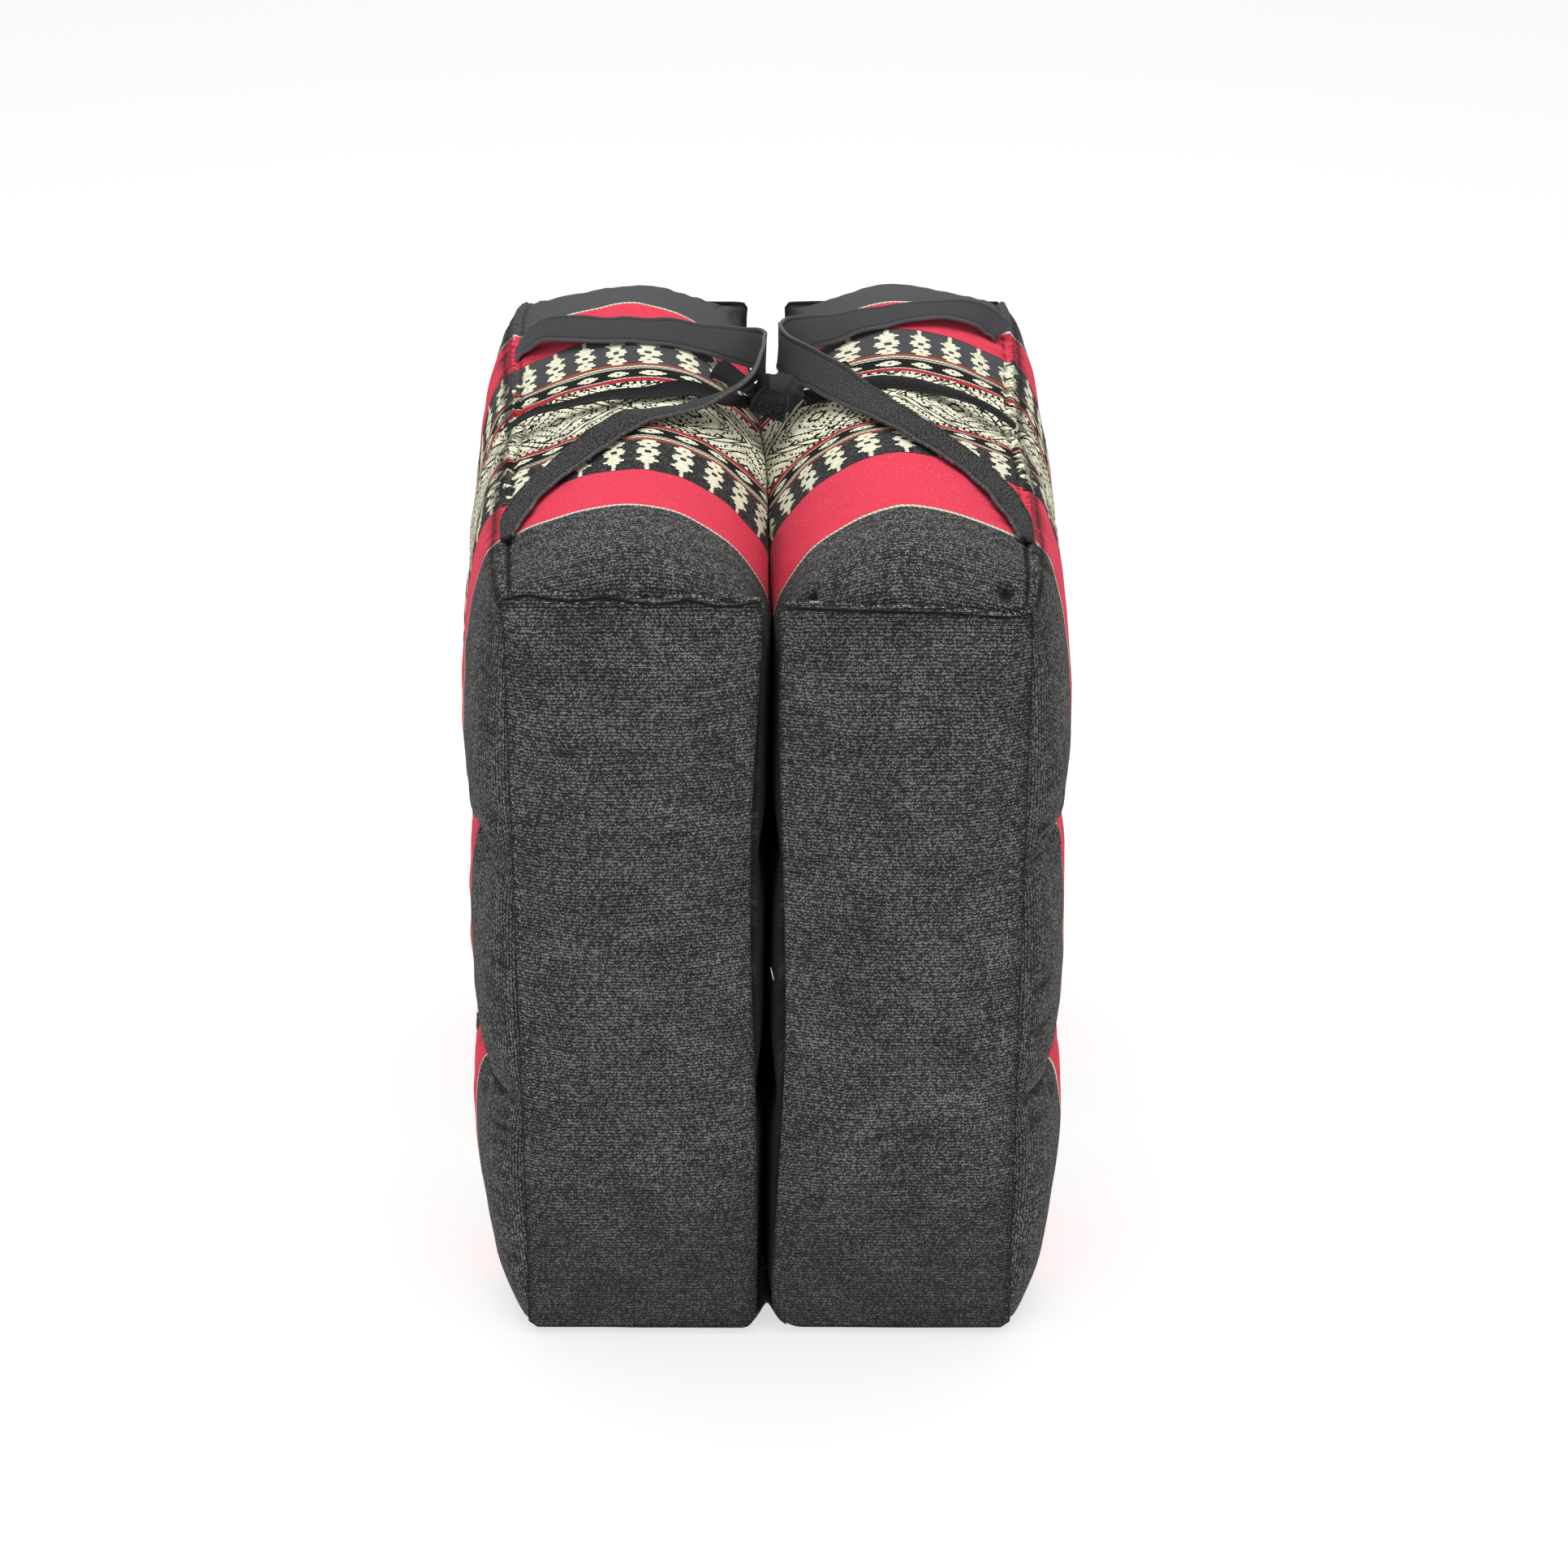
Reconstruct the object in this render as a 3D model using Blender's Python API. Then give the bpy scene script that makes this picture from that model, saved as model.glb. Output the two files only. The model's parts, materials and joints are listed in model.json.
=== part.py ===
"""Folding yoga cushion, closed: two filled halves stand side by side on their hinge edge.

Metres, +Z up, +X to the right, +Y away from the viewer. Sizes below are in centimetres
and are turned into metres by CM when a mesh is made.
"""

import math

import bmesh
import bpy
import numpy as np

CM = 0.01

# The cushion halves
LENGTH = 40.0
HALF_LENGTH = LENGTH / 2
SEAM_BOTTOM = 0.65
SEAM_TOP = 43.8
PANEL_INNER = 0.62
PANEL_OUTER = 13.25
CREASES = (28.9, 14.5)
CREASE_REACH = 14.75
CHANNEL_RISE = (1.75, 1.25, 1.85)
SEAM_REACH = 13.6
SEAM_LIFT = 44.6
FOOT_REACH = 13.5
CROWN_X = 6.8
CROWN_Z = 46.8
VALLEY_Z = 40.2
CONTACT = 0.04
FOOT_ROUND = (3.0, 3.2)
END_CROWN = 1.0
FOOT_NARROWER = 0.35
CENTRE_SHIFT = 0.4

# How finely each part of the girth is cut
CUTS_CHANNEL = 6
CUTS_BOTTOM = 4
CUTS_FOOT = 4
CUTS_INNER = 3
CUTS_TOP_INNER = 6
CUTS_TOP_OUTER = 5
STATIONS = (-1.0, -0.985, -0.94, -0.86, -0.72, -0.5, -0.25, 0.0, 0.25, 0.5, 0.72, 0.86, 0.94, 0.985, 1.0)
RINGS = (0.8, 0.5, 0.2)

# The end panels' cloth and its standing lip
CLOTH = 0.2
GAP = 0.035
LIP_TOP = 0.55
LIP_SIDE = 0.3
LIP_OUTER = 0.16
LIP_BOTTOM = 0.25

# Tapes and ribbons
TAPE_WIDTH = 2.2
TAPE_THICK = 0.22
TIE_WIDTH = 0.9
TIE_THICK = 0.12
TAPE_CLEAR = 0.08


def smooth(x):
    x = np.clip(x, 0.0, 1.0)
    return x * x * (3.0 - 2.0 * x)


def full_girth():
    """One half's cross-section in mid length, as a closed ring of (x, z), outer seam first."""
    ring = []
    marks = [(SEAM_REACH, SEAM_LIFT), (CREASE_REACH, CREASES[0]), (CREASE_REACH, CREASES[1]), (FOOT_REACH, 0.05)]
    for k in range(3):
        (xa, za), (xb, zb) = marks[k], marks[k + 1]
        for i in range(CUTS_CHANNEL):
            q = 0.5 - 0.5 * math.cos(math.pi * i / CUTS_CHANNEL)
            rise = CHANNEL_RISE[k] * math.sqrt(max(0.0, 1.0 - abs(2.0 * q - 1.0) ** 2.4))
            ring.append((xa + (xb - xa) * q + rise, za + (zb - za) * q))
    for i in range(CUTS_BOTTOM + 1):
        q = i / CUTS_BOTTOM
        x = 12.2 + (FOOT_ROUND[0] - 12.2) * q
        ring.append((x, 0.0))
    for i in range(1, CUTS_FOOT + 1):
        a = 0.5 * math.pi * i / CUTS_FOOT
        x = FOOT_ROUND[0] - (FOOT_ROUND[0] - CONTACT) * math.sin(a)
        ring.append((x, FOOT_ROUND[1] * (1.0 - math.cos(a))))
    inner = [FOOT_ROUND[1], CREASES[1], CREASES[0], VALLEY_Z]
    for k in range(3):
        for i in range(1, CUTS_INNER + 1):
            q = i / CUTS_INNER
            dip = 0.55 if i == CUTS_INNER and k < 2 else 0.0
            ring.append((CONTACT + dip, inner[k] + (inner[k + 1] - inner[k]) * q))
    for i in range(1, CUTS_TOP_INNER + 1):
        a = 0.5 * math.pi * i / CUTS_TOP_INNER
        x = CROWN_X - (CROWN_X - CONTACT) * math.cos(a)
        ring.append((x, VALLEY_Z + (CROWN_Z - VALLEY_Z) * math.sin(a)))
    for i in range(1, CUTS_TOP_OUTER):
        x = CROWN_X + (SEAM_REACH - CROWN_X) * i / CUTS_TOP_OUTER
        drop = 1.0 - math.sqrt(1.0 - ((x - CROWN_X) / 7.05) ** 2)
        ring.append((x, CROWN_Z - 3.2 * drop))
    return np.array(ring)


def end_girth(side):
    """The outline of the end panel's seam, with a point for each point of full_girth."""
    full = full_girth()
    n_side = 3 * CUTS_CHANNEL
    n_bottom = n_side + CUTS_BOTTOM + 1
    n_foot = n_bottom + CUTS_FOOT
    n_inner = n_foot + 3 * CUTS_INNER
    n_crown = n_inner + CUTS_TOP_INNER
    cut = (1.5, 1.9) if side > 0 else (0.5, 0.9)
    ring = []
    for i in range(len(full)):
        x, z = full[i]
        if i < n_side:
            z = SEAM_BOTTOM + (SEAM_TOP - SEAM_BOTTOM) * z / SEAM_LIFT
            ring.append((PANEL_OUTER - FOOT_NARROWER * (1.0 - z / SEAM_TOP), z))
        elif i < n_bottom:
            q = (i - n_side) / CUTS_BOTTOM
            ring.append((12.6 + (PANEL_INNER + cut[0] - 12.6) * q, SEAM_BOTTOM))
        elif i < n_foot:
            a = 0.5 * math.pi * (i - n_bottom + 1) / CUTS_FOOT
            x = PANEL_INNER + cut[0] * (1.0 - math.sin(a))
            ring.append((x, SEAM_BOTTOM + cut[1] * (1.0 - math.cos(a))))
        elif i < n_inner:
            ring.append((PANEL_INNER, max(z, SEAM_BOTTOM + cut[1] + 0.3)))
        elif i < n_crown:
            q = (i - n_inner + 1) / CUTS_TOP_INNER
            if q < 0.45:
                ring.append((PANEL_INNER, VALLEY_Z + (SEAM_TOP - VALLEY_Z) * q / 0.45))
            else:
                ring.append((PANEL_INNER + 0.2 + (CROWN_X - PANEL_INNER - 0.2) * (q - 0.45) / 0.55, SEAM_TOP))
        else:
            ring.append((x, SEAM_TOP))
    return np.array(ring)


def lean(z):
    """How far the fold between the halves leans to the right, from floor to top."""
    return 0.25 - 0.65 * (1.0 - z / SEAM_TOP)


def placed(side, x, y, z, full):
    """Turn a half's own (x, y, z) into the object's, full being 0 at the end seams and 1 inside."""
    t = y / HALF_LENGTH
    inner = np.clip(1.0 - x / PANEL_OUTER, 0.0, 1.0)
    spread = smooth((t + 0.1) / 1.1)
    if side < 0:
        apart = 1.25 * spread * inner + (1.0 - inner) * (t + 1.0) / 2 * (0.2 + 0.9 * full)
    else:
        apart = 0.3 * spread * inner
    pull = 0.3 * np.exp(-((t - 0.05) / 0.3) ** 2) * (1.0 - inner) * smooth((z - 38.0) / 5.0)
    rise = 0.35 * smooth(t) * np.clip((z - 40.0) / 4.0, 0.0, 1.0)
    if side > 0:
        rise = rise - 0.55 * smooth((-0.88 - t) / 0.12) * np.clip((z - 30.0) / 13.0, 0.0, 1.0)
    return (
        side * (x + apart - pull) + lean(z) * inner,
        y + 0.0 * x,
        z + rise,
    )


def fullness(t, power):
    return np.sqrt(np.clip(1.0 - np.abs(t) ** power, 0.0, 1.0))


def section(side, t):
    """The ring of object points of one half at t, from -1 at the near seam to 1 at the far one."""
    full = full_girth()
    end = end_girth(side)
    high = smooth((full[:, 1] - SEAM_TOP + 1.0) / 1.5)
    w = fullness(t, 6.0) * (1.0 - high) + fullness(t, 8.0) * high
    foot = full[:, 1] <= 0.0
    w = np.where(foot, np.minimum(1.0, 1.08 * w), w)
    x = end[:, 0] + (full[:, 0] - end[:, 0]) * w
    z = end[:, 1] + (full[:, 1] - end[:, 1]) * w
    x, y, z = placed(side, x, np.full(len(x), t * HALF_LENGTH), z, w)
    return np.stack([x, y, z], axis=1)


def crown_height(side, x, y):
    """The height of a half's top under a place on it."""
    ring = section(side, y / HALF_LENGTH)
    top = ring[-(CUTS_TOP_INNER + CUTS_TOP_OUTER):]
    top = np.vstack([top, ring[:1]])
    order = np.argsort(top[:, 0])
    return float(np.interp(x, top[order, 0], top[order, 2]))


def mesh_object(name, points, faces, material, collection):
    mesh = bpy.data.meshes.new(name)
    places = [((p[0] + CENTRE_SHIFT) * CM, p[1] * CM, p[2] * CM) for p in points]
    mesh.from_pydata([tuple(float(c) for c in p) for p in places], [], faces)
    shell = bmesh.new()
    shell.from_mesh(mesh)
    bmesh.ops.recalc_face_normals(shell, faces=shell.faces)
    shell.to_mesh(mesh)
    shell.free()
    mesh.update()
    obj = bpy.data.objects.new(name, mesh)
    collection.objects.link(obj)
    obj.data.materials.append(material)
    return obj


def bridge(faces, a, b, count):
    """Quads between two rings of count vertices that start at a and b."""
    for i in range(count):
        j = (i + 1) % count
        faces.append((a + i, a + j, b + j, b + i))


def end_rings(ring, sign, start):
    """Rings over a half's end, from its seam to near its middle, crowned outwards."""
    middle = ring.mean(axis=0)
    rings = []
    for r in start:
        p = middle + (ring - middle) * r
        p[:, 1] = ring[:, 1] + sign * END_CROWN * (1.0 - r * r)
        rings.append(p)
    return rings


def cushion_half(name, side, material, collection):
    rings = [section(side, t) for t in STATIONS]
    rings = end_rings(rings[0], -1.0, RINGS[::-1]) + rings + end_rings(rings[-1], 1.0, RINGS)
    count = len(rings[0])
    points = [tuple(p) for ring in rings for p in ring]
    faces = []
    for k in range(len(rings) - 1):
        bridge(faces, k * count, (k + 1) * count, count)
    last = (len(rings) - 1) * count
    faces.append(tuple(range(count)))
    faces.append(tuple(range(last, last + count)))
    return mesh_object(name, points, faces, material, collection)


def end_panel(name, side, sign, material, collection):
    """A sheet of cloth over one end, 2 mm thick, with its seam allowance standing as a lip."""
    t = float(sign)
    ring = section(side, t)
    flat = end_girth(side)
    middle = ring.mean(axis=0)
    run = np.roll(ring, -1, axis=0) - np.roll(ring, 1, axis=0)
    out = np.stack([run[:, 2], 0.0 * run[:, 0], -run[:, 0]], axis=1)
    out /= np.linalg.norm(out, axis=1)[:, None]
    facing = ((ring - middle) * out).sum(axis=1)
    out *= np.sign(facing.sum())
    for i in range(len(flat)):
        x, z = flat[i]
        wave = 0.5 + 0.5 * math.sin(1.9 * x + 1.3 * side) * math.cos(0.8 * x - 1.0)
        if z > SEAM_TOP - 0.05:
            reach = LIP_TOP * (0.55 + 0.6 * wave)
        elif z < SEAM_BOTTOM + 1.0:
            reach = LIP_BOTTOM
        elif x > 6.0:
            reach = LIP_OUTER
        else:
            reach = LIP_SIDE * (0.75 + 0.25 * math.sin(0.55 * z + side))
        out[i] *= reach
    lips = []
    for reach in (1.0, 0.5):
        lip = ring + out * reach
        lips.append(lip)
    rings = lips + [ring] + end_rings(ring, sign, RINGS)
    count = len(ring)
    points = []
    for layer in range(2):
        for k in range(len(rings)):
            lifted = rings[k].copy()
            curl = 0.12 if k == 0 else 0.0
            lifted[:, 1] += sign * (GAP + layer * CLOTH + curl)
            points.extend(tuple(p) for p in lifted)
    faces = []
    per = len(rings) * count
    for k in range(len(rings) - 1):
        bridge(faces, k * count, (k + 1) * count, count)
        bridge(faces, per + k * count, per + (k + 1) * count, count)
    bridge(faces, 0, per, count)
    faces.append(tuple(range(per - count, per)))
    faces.append(tuple(range(2 * per - count, 2 * per)))
    return mesh_object(name, points, faces, material, collection)


def spline(rows, steps):
    """Catmull-Rom points through the rows, steps to each span."""
    rows = np.array(rows, dtype=float)
    out = []
    for i in range(len(rows) - 1):
        p0 = rows[max(i - 1, 0)]
        p1 = rows[i]
        p2 = rows[i + 1]
        p3 = rows[min(i + 2, len(rows) - 1)]
        for k in range(steps):
            u = k / steps
            out.append(
                0.5 * (2 * p1 + (p2 - p0) * u + (2 * p0 - 5 * p1 + 4 * p2 - p3) * u ** 2
                       + (3 * p1 - p0 - 3 * p2 + p3) * u ** 3)
            )
    out.append(rows[-1])
    return np.array(out)


def ribbon(name, side, rows, width, thick, steps, material, collection):
    """A flat tape over one half. Each row is x, y, z, the direction of its width, and the width's share."""
    path = spline(rows, steps)
    centre = path[:, :3]
    across = path[:, 3:6]
    share = path[:, 6]
    along = np.gradient(centre, axis=0)
    along /= np.linalg.norm(along, axis=1)[:, None]
    across = across - along * (across * along).sum(axis=1)[:, None]
    across /= np.linalg.norm(across, axis=1)[:, None]
    face = np.cross(along, across)
    rings = []
    lifts = []
    for i in range(len(centre)):
        a = across[i] * width * share[i] / 2
        f = face[i] * thick / 2
        ring = [centre[i] + a * u + f * v for u, v in ((-1, -1), (0, -1), (1, -1), (1, 1), (0, 1), (-1, 1))]
        rings.append(np.array(ring))
        lifts.append(max(crown_height(side, p[0], p[1]) + TAPE_CLEAR - p[2] for p in ring))
    lifts = np.maximum(lifts, 0.0)
    wide = [max(lifts[max(i - 1, 0):i + 2]) for i in range(len(lifts))]
    points = []
    for i in range(len(rings)):
        lifted = rings[i] + np.array([0.0, 0.0, float(np.mean(wide[max(i - 1, 0):i + 2]))])
        points.extend(tuple(p) for p in lifted)
    faces = []
    for k in range(len(centre) - 1):
        bridge(faces, k * 6, (k + 1) * 6, 6)
    last = (len(centre) - 1) * 6
    faces.append((0, 5, 4, 1))
    faces.append((1, 4, 3, 2))
    faces.append((last, last + 1, last + 4, last + 5))
    faces.append((last + 1, last + 2, last + 3, last + 4))
    return mesh_object(name, points, faces, material, collection)


def knot(name, centre, radii, material, collection):
    """A pulled-tight lump of ribbon: a ball drawn in along its wraps."""
    rows, columns = 12, 20
    points = [(centre[0], centre[1], centre[2] - radii[2])]
    for i in range(1, rows):
        a = math.pi * i / rows
        for k in range(columns):
            b = 2.0 * math.pi * k / columns
            x = math.sin(a) * math.cos(b)
            y = math.sin(a) * math.sin(b)
            z = -math.cos(a)
            wrap = 1.0 + 0.14 * math.cos(5.0 * (x + 0.6 * z)) * (1.0 - y * y) + 0.06 * math.cos(7.0 * y + 2.0 * x)
            points.append((
                centre[0] + radii[0] * x * wrap,
                centre[1] + radii[1] * y * wrap,
                centre[2] + radii[2] * z * wrap,
            ))
    points.append((centre[0], centre[1], centre[2] + radii[2]))
    faces = []
    for k in range(columns):
        faces.append((0, 1 + (k + 1) % columns, 1 + k))
    for i in range(rows - 2):
        bridge(faces, 1 + i * columns, 1 + (i + 1) * columns, columns)
    last = 1 + (rows - 2) * columns
    for k in range(columns):
        faces.append((last + k, last + (k + 1) % columns, len(points) - 1))
    return mesh_object(name, points, faces, material, collection)


def hinge_strip(name, material, collection):
    """The cloth that joins the halves along their bottom inner edges, folded up into an arch."""
    arch = ((-1.5, 0.32), (-1.02, 0.62), (-0.62, 1.05), (-0.28, 1.5), (0.0, 1.72),
            (0.28, 1.5), (0.62, 1.05), (1.02, 0.62), (1.5, 0.32))
    points = []
    stations = 11
    for k in range(stations):
        t = -1.0 + 2.0 * k / (stations - 1)
        y = t * (HALF_LENGTH - 0.25)
        wider = 0.97 + 0.25 * smooth((t + 0.1) / 1.1) - 0.2 * smooth((-0.55 - t) / 0.35)
        shift = lean(1.0) - 0.5 * smooth((t + 0.1) / 1.1) + 0.25 * smooth((-0.55 - t) / 0.35)
        ring = []
        for x, z in arch:
            ring.append((x * wider + shift, y, z + 0.1 + 0.05 * math.sin(3.0 * y)))
        for x, z in reversed(arch):
            ring.append((x * wider * 0.88 + shift, y, z - 0.1))
        points.extend(ring)
    count = 2 * len(arch)
    faces = []
    for k in range(stations - 1):
        bridge(faces, k * count, (k + 1) * count, count)
    last = (stations - 1) * count
    half = len(arch)
    for i in range(half - 1):
        near = (i, i + 1, count - 2 - i, count - 1 - i)
        faces.append(near)
        faces.append(tuple(last + v for v in near[::-1]))
    return mesh_object(name, points, faces, material, collection)


def cloth_material(name, colour, roughness):
    material = bpy.data.materials.new(name)
    material.use_nodes = True
    shader = material.node_tree.nodes["Principled BSDF"]
    shader.inputs["Base Color"].default_value = (*colour, 1.0)
    shader.inputs["Roughness"].default_value = roughness
    return material


def main():
    for obj in list(bpy.data.objects):
        bpy.data.objects.remove(obj, do_unlink=True)
    collection = bpy.data.collections.new("folding_yoga_cushion")
    bpy.context.scene.collection.children.link(collection)

    woven = (0.45, 0.05, 0.08)
    black = (0.03, 0.03, 0.033)
    tape = (0.022, 0.022, 0.025)

    for name, side in (("cushion_left", -1), ("cushion_right", 1)):
        cushion_half(name, side, cloth_material(name + "_cloth", woven, 0.85), collection)
    for name, side, sign in (
        ("panel_near_left", -1, -1),
        ("panel_near_right", 1, -1),
        ("panel_far_left", -1, 1),
        ("panel_far_right", 1, 1),
    ):
        end_panel(name, side, sign, cloth_material(name + "_cloth", black, 0.9), collection)
    hinge_strip("hinge_strip", cloth_material("hinge_cloth", black, 0.9), collection)

    left = [
        (-14.55, 11.6, 44.8, 0.25, 0.3, 0.9, 0.9),
        (-13.7, 10.5, 45.85, 0.1, 0.3, 1.0, 1.0),
        (-12.0, 8.8, 46.9, 0.0, 0.2, 1.0, 1.0),
        (-8.6, 6.9, 47.95, 0.0, 0.1, 1.0, 1.0),
        (-4.2, 6.0, 47.85, 0.0, 0.1, 1.0, 1.0),
        (-1.6, 4.8, 47.9, 0.0, 0.1, 1.0, 1.0),
        (-0.5, 3.3, 47.95, 0.1, 0.0, 1.0, 1.0),
        (-0.6, 1.8, 47.9, 0.2, -0.5, 0.9, 1.0),
        (-1.8, 0.0, 47.5, 0.3, -0.85, 0.5, 1.0),
        (-4.3, -2.0, 47.25, 0.55, -0.75, 0.25, 1.0),
        (-6.9, -4.2, 47.2, 0.75, -0.6, 0.08, 1.0),
        (-9.3, -7.2, 46.95, 0.8, -0.55, 0.15, 1.0),
        (-11.6, -10.6, 46.35, 0.75, -0.5, 0.3, 1.0),
        (-13.3, -13.3, 45.4, 0.72, -0.5, 0.42, 1.0),
        (-14.0, -14.7, 44.85, 0.7, -0.5, 0.5, 1.0),
    ]
    right = [
        (13.45, 12.6, 44.95, -0.3, 0.2, 0.9, 0.95),
        (12.5, 12.0, 46.2, -0.15, 0.4, 1.0, 1.0),
        (10.9, 11.2, 47.1, 0.0, 0.7, 0.9, 1.0),
        (8.6, 10.4, 47.6, 0.0, 0.9, 0.75, 0.95),
        (5.9, 9.2, 47.8, 0.0, 0.6, 1.0, 1.0),
        (3.2, 7.5, 47.7, 0.0, 0.25, 1.0, 1.0),
        (1.3, 5.4, 48.0, 0.0, 0.1, 1.0, 1.0),
        (0.6, 3.9, 48.1, 0.05, 0.0, 1.0, 1.0),
        (1.5, 2.3, 48.1, 0.3, 0.1, 1.0, 1.0),
        (3.1, 0.7, 47.75, 0.6, 0.35, 0.75, 1.0),
        (5.2, -1.4, 47.3, 0.8, 0.5, 0.35, 1.0),
        (7.7, -4.3, 47.1, 0.8, 0.57, 0.05, 1.0),
        (10.0, -7.6, 46.85, 0.8, 0.57, -0.1, 1.0),
        (11.9, -10.7, 46.25, 0.78, 0.55, -0.25, 1.0),
        (13.2, -13.4, 45.45, 0.72, 0.54, -0.4, 1.0),
        (13.8, -14.9, 44.85, 0.7, 0.54, -0.47, 1.0),
    ]
    for name, side, rows in (("handle_left", -1, left), ("handle_right", 1, right)):
        ribbon(name, side, rows, TAPE_WIDTH, TAPE_THICK, 4, cloth_material(name + "_tape", tape, 0.8), collection)

    tie_left = [
        (-14.2, -0.1, 44.9, 0.1, 1.0, 0.0, 1.0),
        (-12.7, -0.4, 45.95, 0.1, 1.0, 0.0, 1.0),
        (-10.8, -0.7, 46.63, 0.1, 1.0, 0.0, 1.0),
        (-8.7, -0.4, 46.9, 0.0, 1.0, 0.1, 1.1),
        (-6.6, 0.1, 46.95, -0.1, 1.0, 0.2, 1.2),
        (-4.4, 1.0, 46.85, -0.1, 1.0, 0.3, 1.5),
        (-2.9, 1.5, 46.65, 0.0, 1.0, 0.5, 1.5),
        (-1.55, 1.5, 46.4, 0.0, 1.0, 0.8, 1.2),
    ]
    tie_right = [
        (13.35, 0.4, 44.95, 0.0, 1.0, 0.0, 0.9),
        (12.3, 0.4, 45.75, 0.0, 1.0, 0.0, 1.0),
        (10.6, 0.6, 46.55, 0.1, 1.0, 0.0, 1.1),
        (8.3, 1.4, 46.9, 0.2, 1.0, 0.1, 1.3),
        (5.8, 2.0, 46.85, 0.1, 1.0, 0.2, 1.4),
        (3.6, 2.0, 46.55, 0.0, 1.0, 0.4, 1.4),
        (1.85, 1.7, 46.3, 0.0, 1.0, 0.8, 1.2),
    ]
    end_left = [
        (-1.0, 2.6, 47.15, 0.3, 0.8, 0.6, 0.9),
        (-2.0, 3.2, 47.0, 0.3, 0.9, 0.4, 1.3),
        (-3.1, 3.7, 46.6, 0.2, 1.0, 0.3, 1.5),
    ]
    end_right = [
        (1.35, 2.9, 46.9, -0.3, 0.8, 0.5, 0.9),
        (2.9, 3.9, 46.7, -0.3, 0.9, 0.3, 1.0),
        (4.7, 4.6, 46.85, -0.3, 1.0, 0.2, 0.8),
    ]
    end_hanging = [
        (0.15, 0.1, 46.7, 1.0, 0.1, 0.0, 1.5),
        (0.05, -0.6, 46.2, 1.0, -0.1, 0.1, 2.3),
        (-0.1, -0.9, 45.3, 1.0, -0.1, 0.15, 2.4),
    ]
    for name, side, rows in (
        ("tie_left", -1, tie_left),
        ("tie_right", 1, tie_right),
        ("tie_end_left", -1, end_left),
        ("tie_end_right", 1, end_right),
        ("tie_end_hanging", 1, end_hanging),
    ):
        ribbon(name, side, rows, TIE_WIDTH, TIE_THICK, 3, cloth_material(name + "_tape", tape, 0.8), collection)
    knot("tie_knot", (0.12, 1.85, 45.9), (1.15, 0.95, 1.15), cloth_material("knot_tape", tape, 0.8), collection)


main()
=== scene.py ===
"""Looks of the folding yoga cushion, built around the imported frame.

Lengths in the tables are centimetres, as in the part's own source, and CM turns them into metres.
"""

import collections
import json
import math

import bmesh
import bpy
import numpy as np
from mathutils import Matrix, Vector

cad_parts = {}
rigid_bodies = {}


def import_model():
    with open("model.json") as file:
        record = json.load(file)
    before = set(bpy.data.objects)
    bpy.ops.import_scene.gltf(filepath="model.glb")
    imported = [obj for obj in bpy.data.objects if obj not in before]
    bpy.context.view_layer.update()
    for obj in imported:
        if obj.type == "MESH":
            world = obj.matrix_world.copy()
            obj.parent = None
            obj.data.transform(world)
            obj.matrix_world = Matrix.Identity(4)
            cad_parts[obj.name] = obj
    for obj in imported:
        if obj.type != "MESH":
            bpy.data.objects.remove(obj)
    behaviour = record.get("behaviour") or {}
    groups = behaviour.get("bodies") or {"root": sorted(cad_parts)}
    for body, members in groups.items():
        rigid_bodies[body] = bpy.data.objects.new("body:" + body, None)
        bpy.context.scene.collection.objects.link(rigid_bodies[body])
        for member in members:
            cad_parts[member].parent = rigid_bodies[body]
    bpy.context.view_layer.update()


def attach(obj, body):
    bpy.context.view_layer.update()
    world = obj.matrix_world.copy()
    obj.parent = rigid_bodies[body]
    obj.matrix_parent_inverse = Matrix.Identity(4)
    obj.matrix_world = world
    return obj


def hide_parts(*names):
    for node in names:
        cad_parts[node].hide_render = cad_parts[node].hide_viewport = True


for old in list(bpy.data.objects):
    bpy.data.objects.remove(old, do_unlink=True)

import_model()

CM = 0.01

HALF_LENGTH = 20.0
SEAM_BOTTOM = 0.65
SEAM_TOP = 43.8
PANEL_INNER = 0.62
PANEL_OUTER = 13.25
CREASES = (28.9, 14.5)
CREASE_REACH = 14.75
CHANNEL_RISE = (1.75, 1.25, 1.85)
SEAM_REACH = 13.6
SEAM_LIFT = 44.6
FOOT_REACH = 13.5
CROWN_X = 6.8
CROWN_Z = 46.8
CROWN_POWER = 1.2
CROWN_FALL = 1.7
CHANNEL_POWER = 2.4
VALLEY_Z = 40.2
CONTACT = 0.04
FOOT_ROUND = (3.0, 3.2)
FOOT_FLAT = 12.2
END_FOOT_FLAT = 12.6
END_CUTS = {-1: (0.5, 0.9), 1: (1.5, 1.9)}
END_RISE_SHARE = 0.45
SIDE_POWER = 6.0
TOP_POWER = 8.0
INNER_DIP = 0.55
END_CROWN = 1.0
FOOT_NARROWER = 0.35
CENTRE_SHIFT = 0.4

CUTS_CHANNEL = 34
CUTS_BOTTOM = 6
CUTS_FOOT = 8
CUTS_INNER = 10
CUTS_TOP_INNER = 66
CUTS_TOP_OUTER = 60
STATION_COUNT = 321

CLOTH = 0.2
GAP = 0.035
LIP_TOP = 0.55
LIP_SIDE = 0.3
LIP_OUTER = 0.16
LIP_BOTTOM = 0.25

TAPE_WIDTH = 2.2
TIE_WIDTH = 0.9

scene = bpy.context.scene
looks = bpy.data.collections.new("looks")
scene.collection.children.link(looks)


def smooth(x):
    x = np.clip(x, 0.0, 1.0)
    return x * x * (3.0 - 2.0 * x)


def hump(x, middle, width):
    return np.exp(-((x - middle) / width) ** 2)


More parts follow.
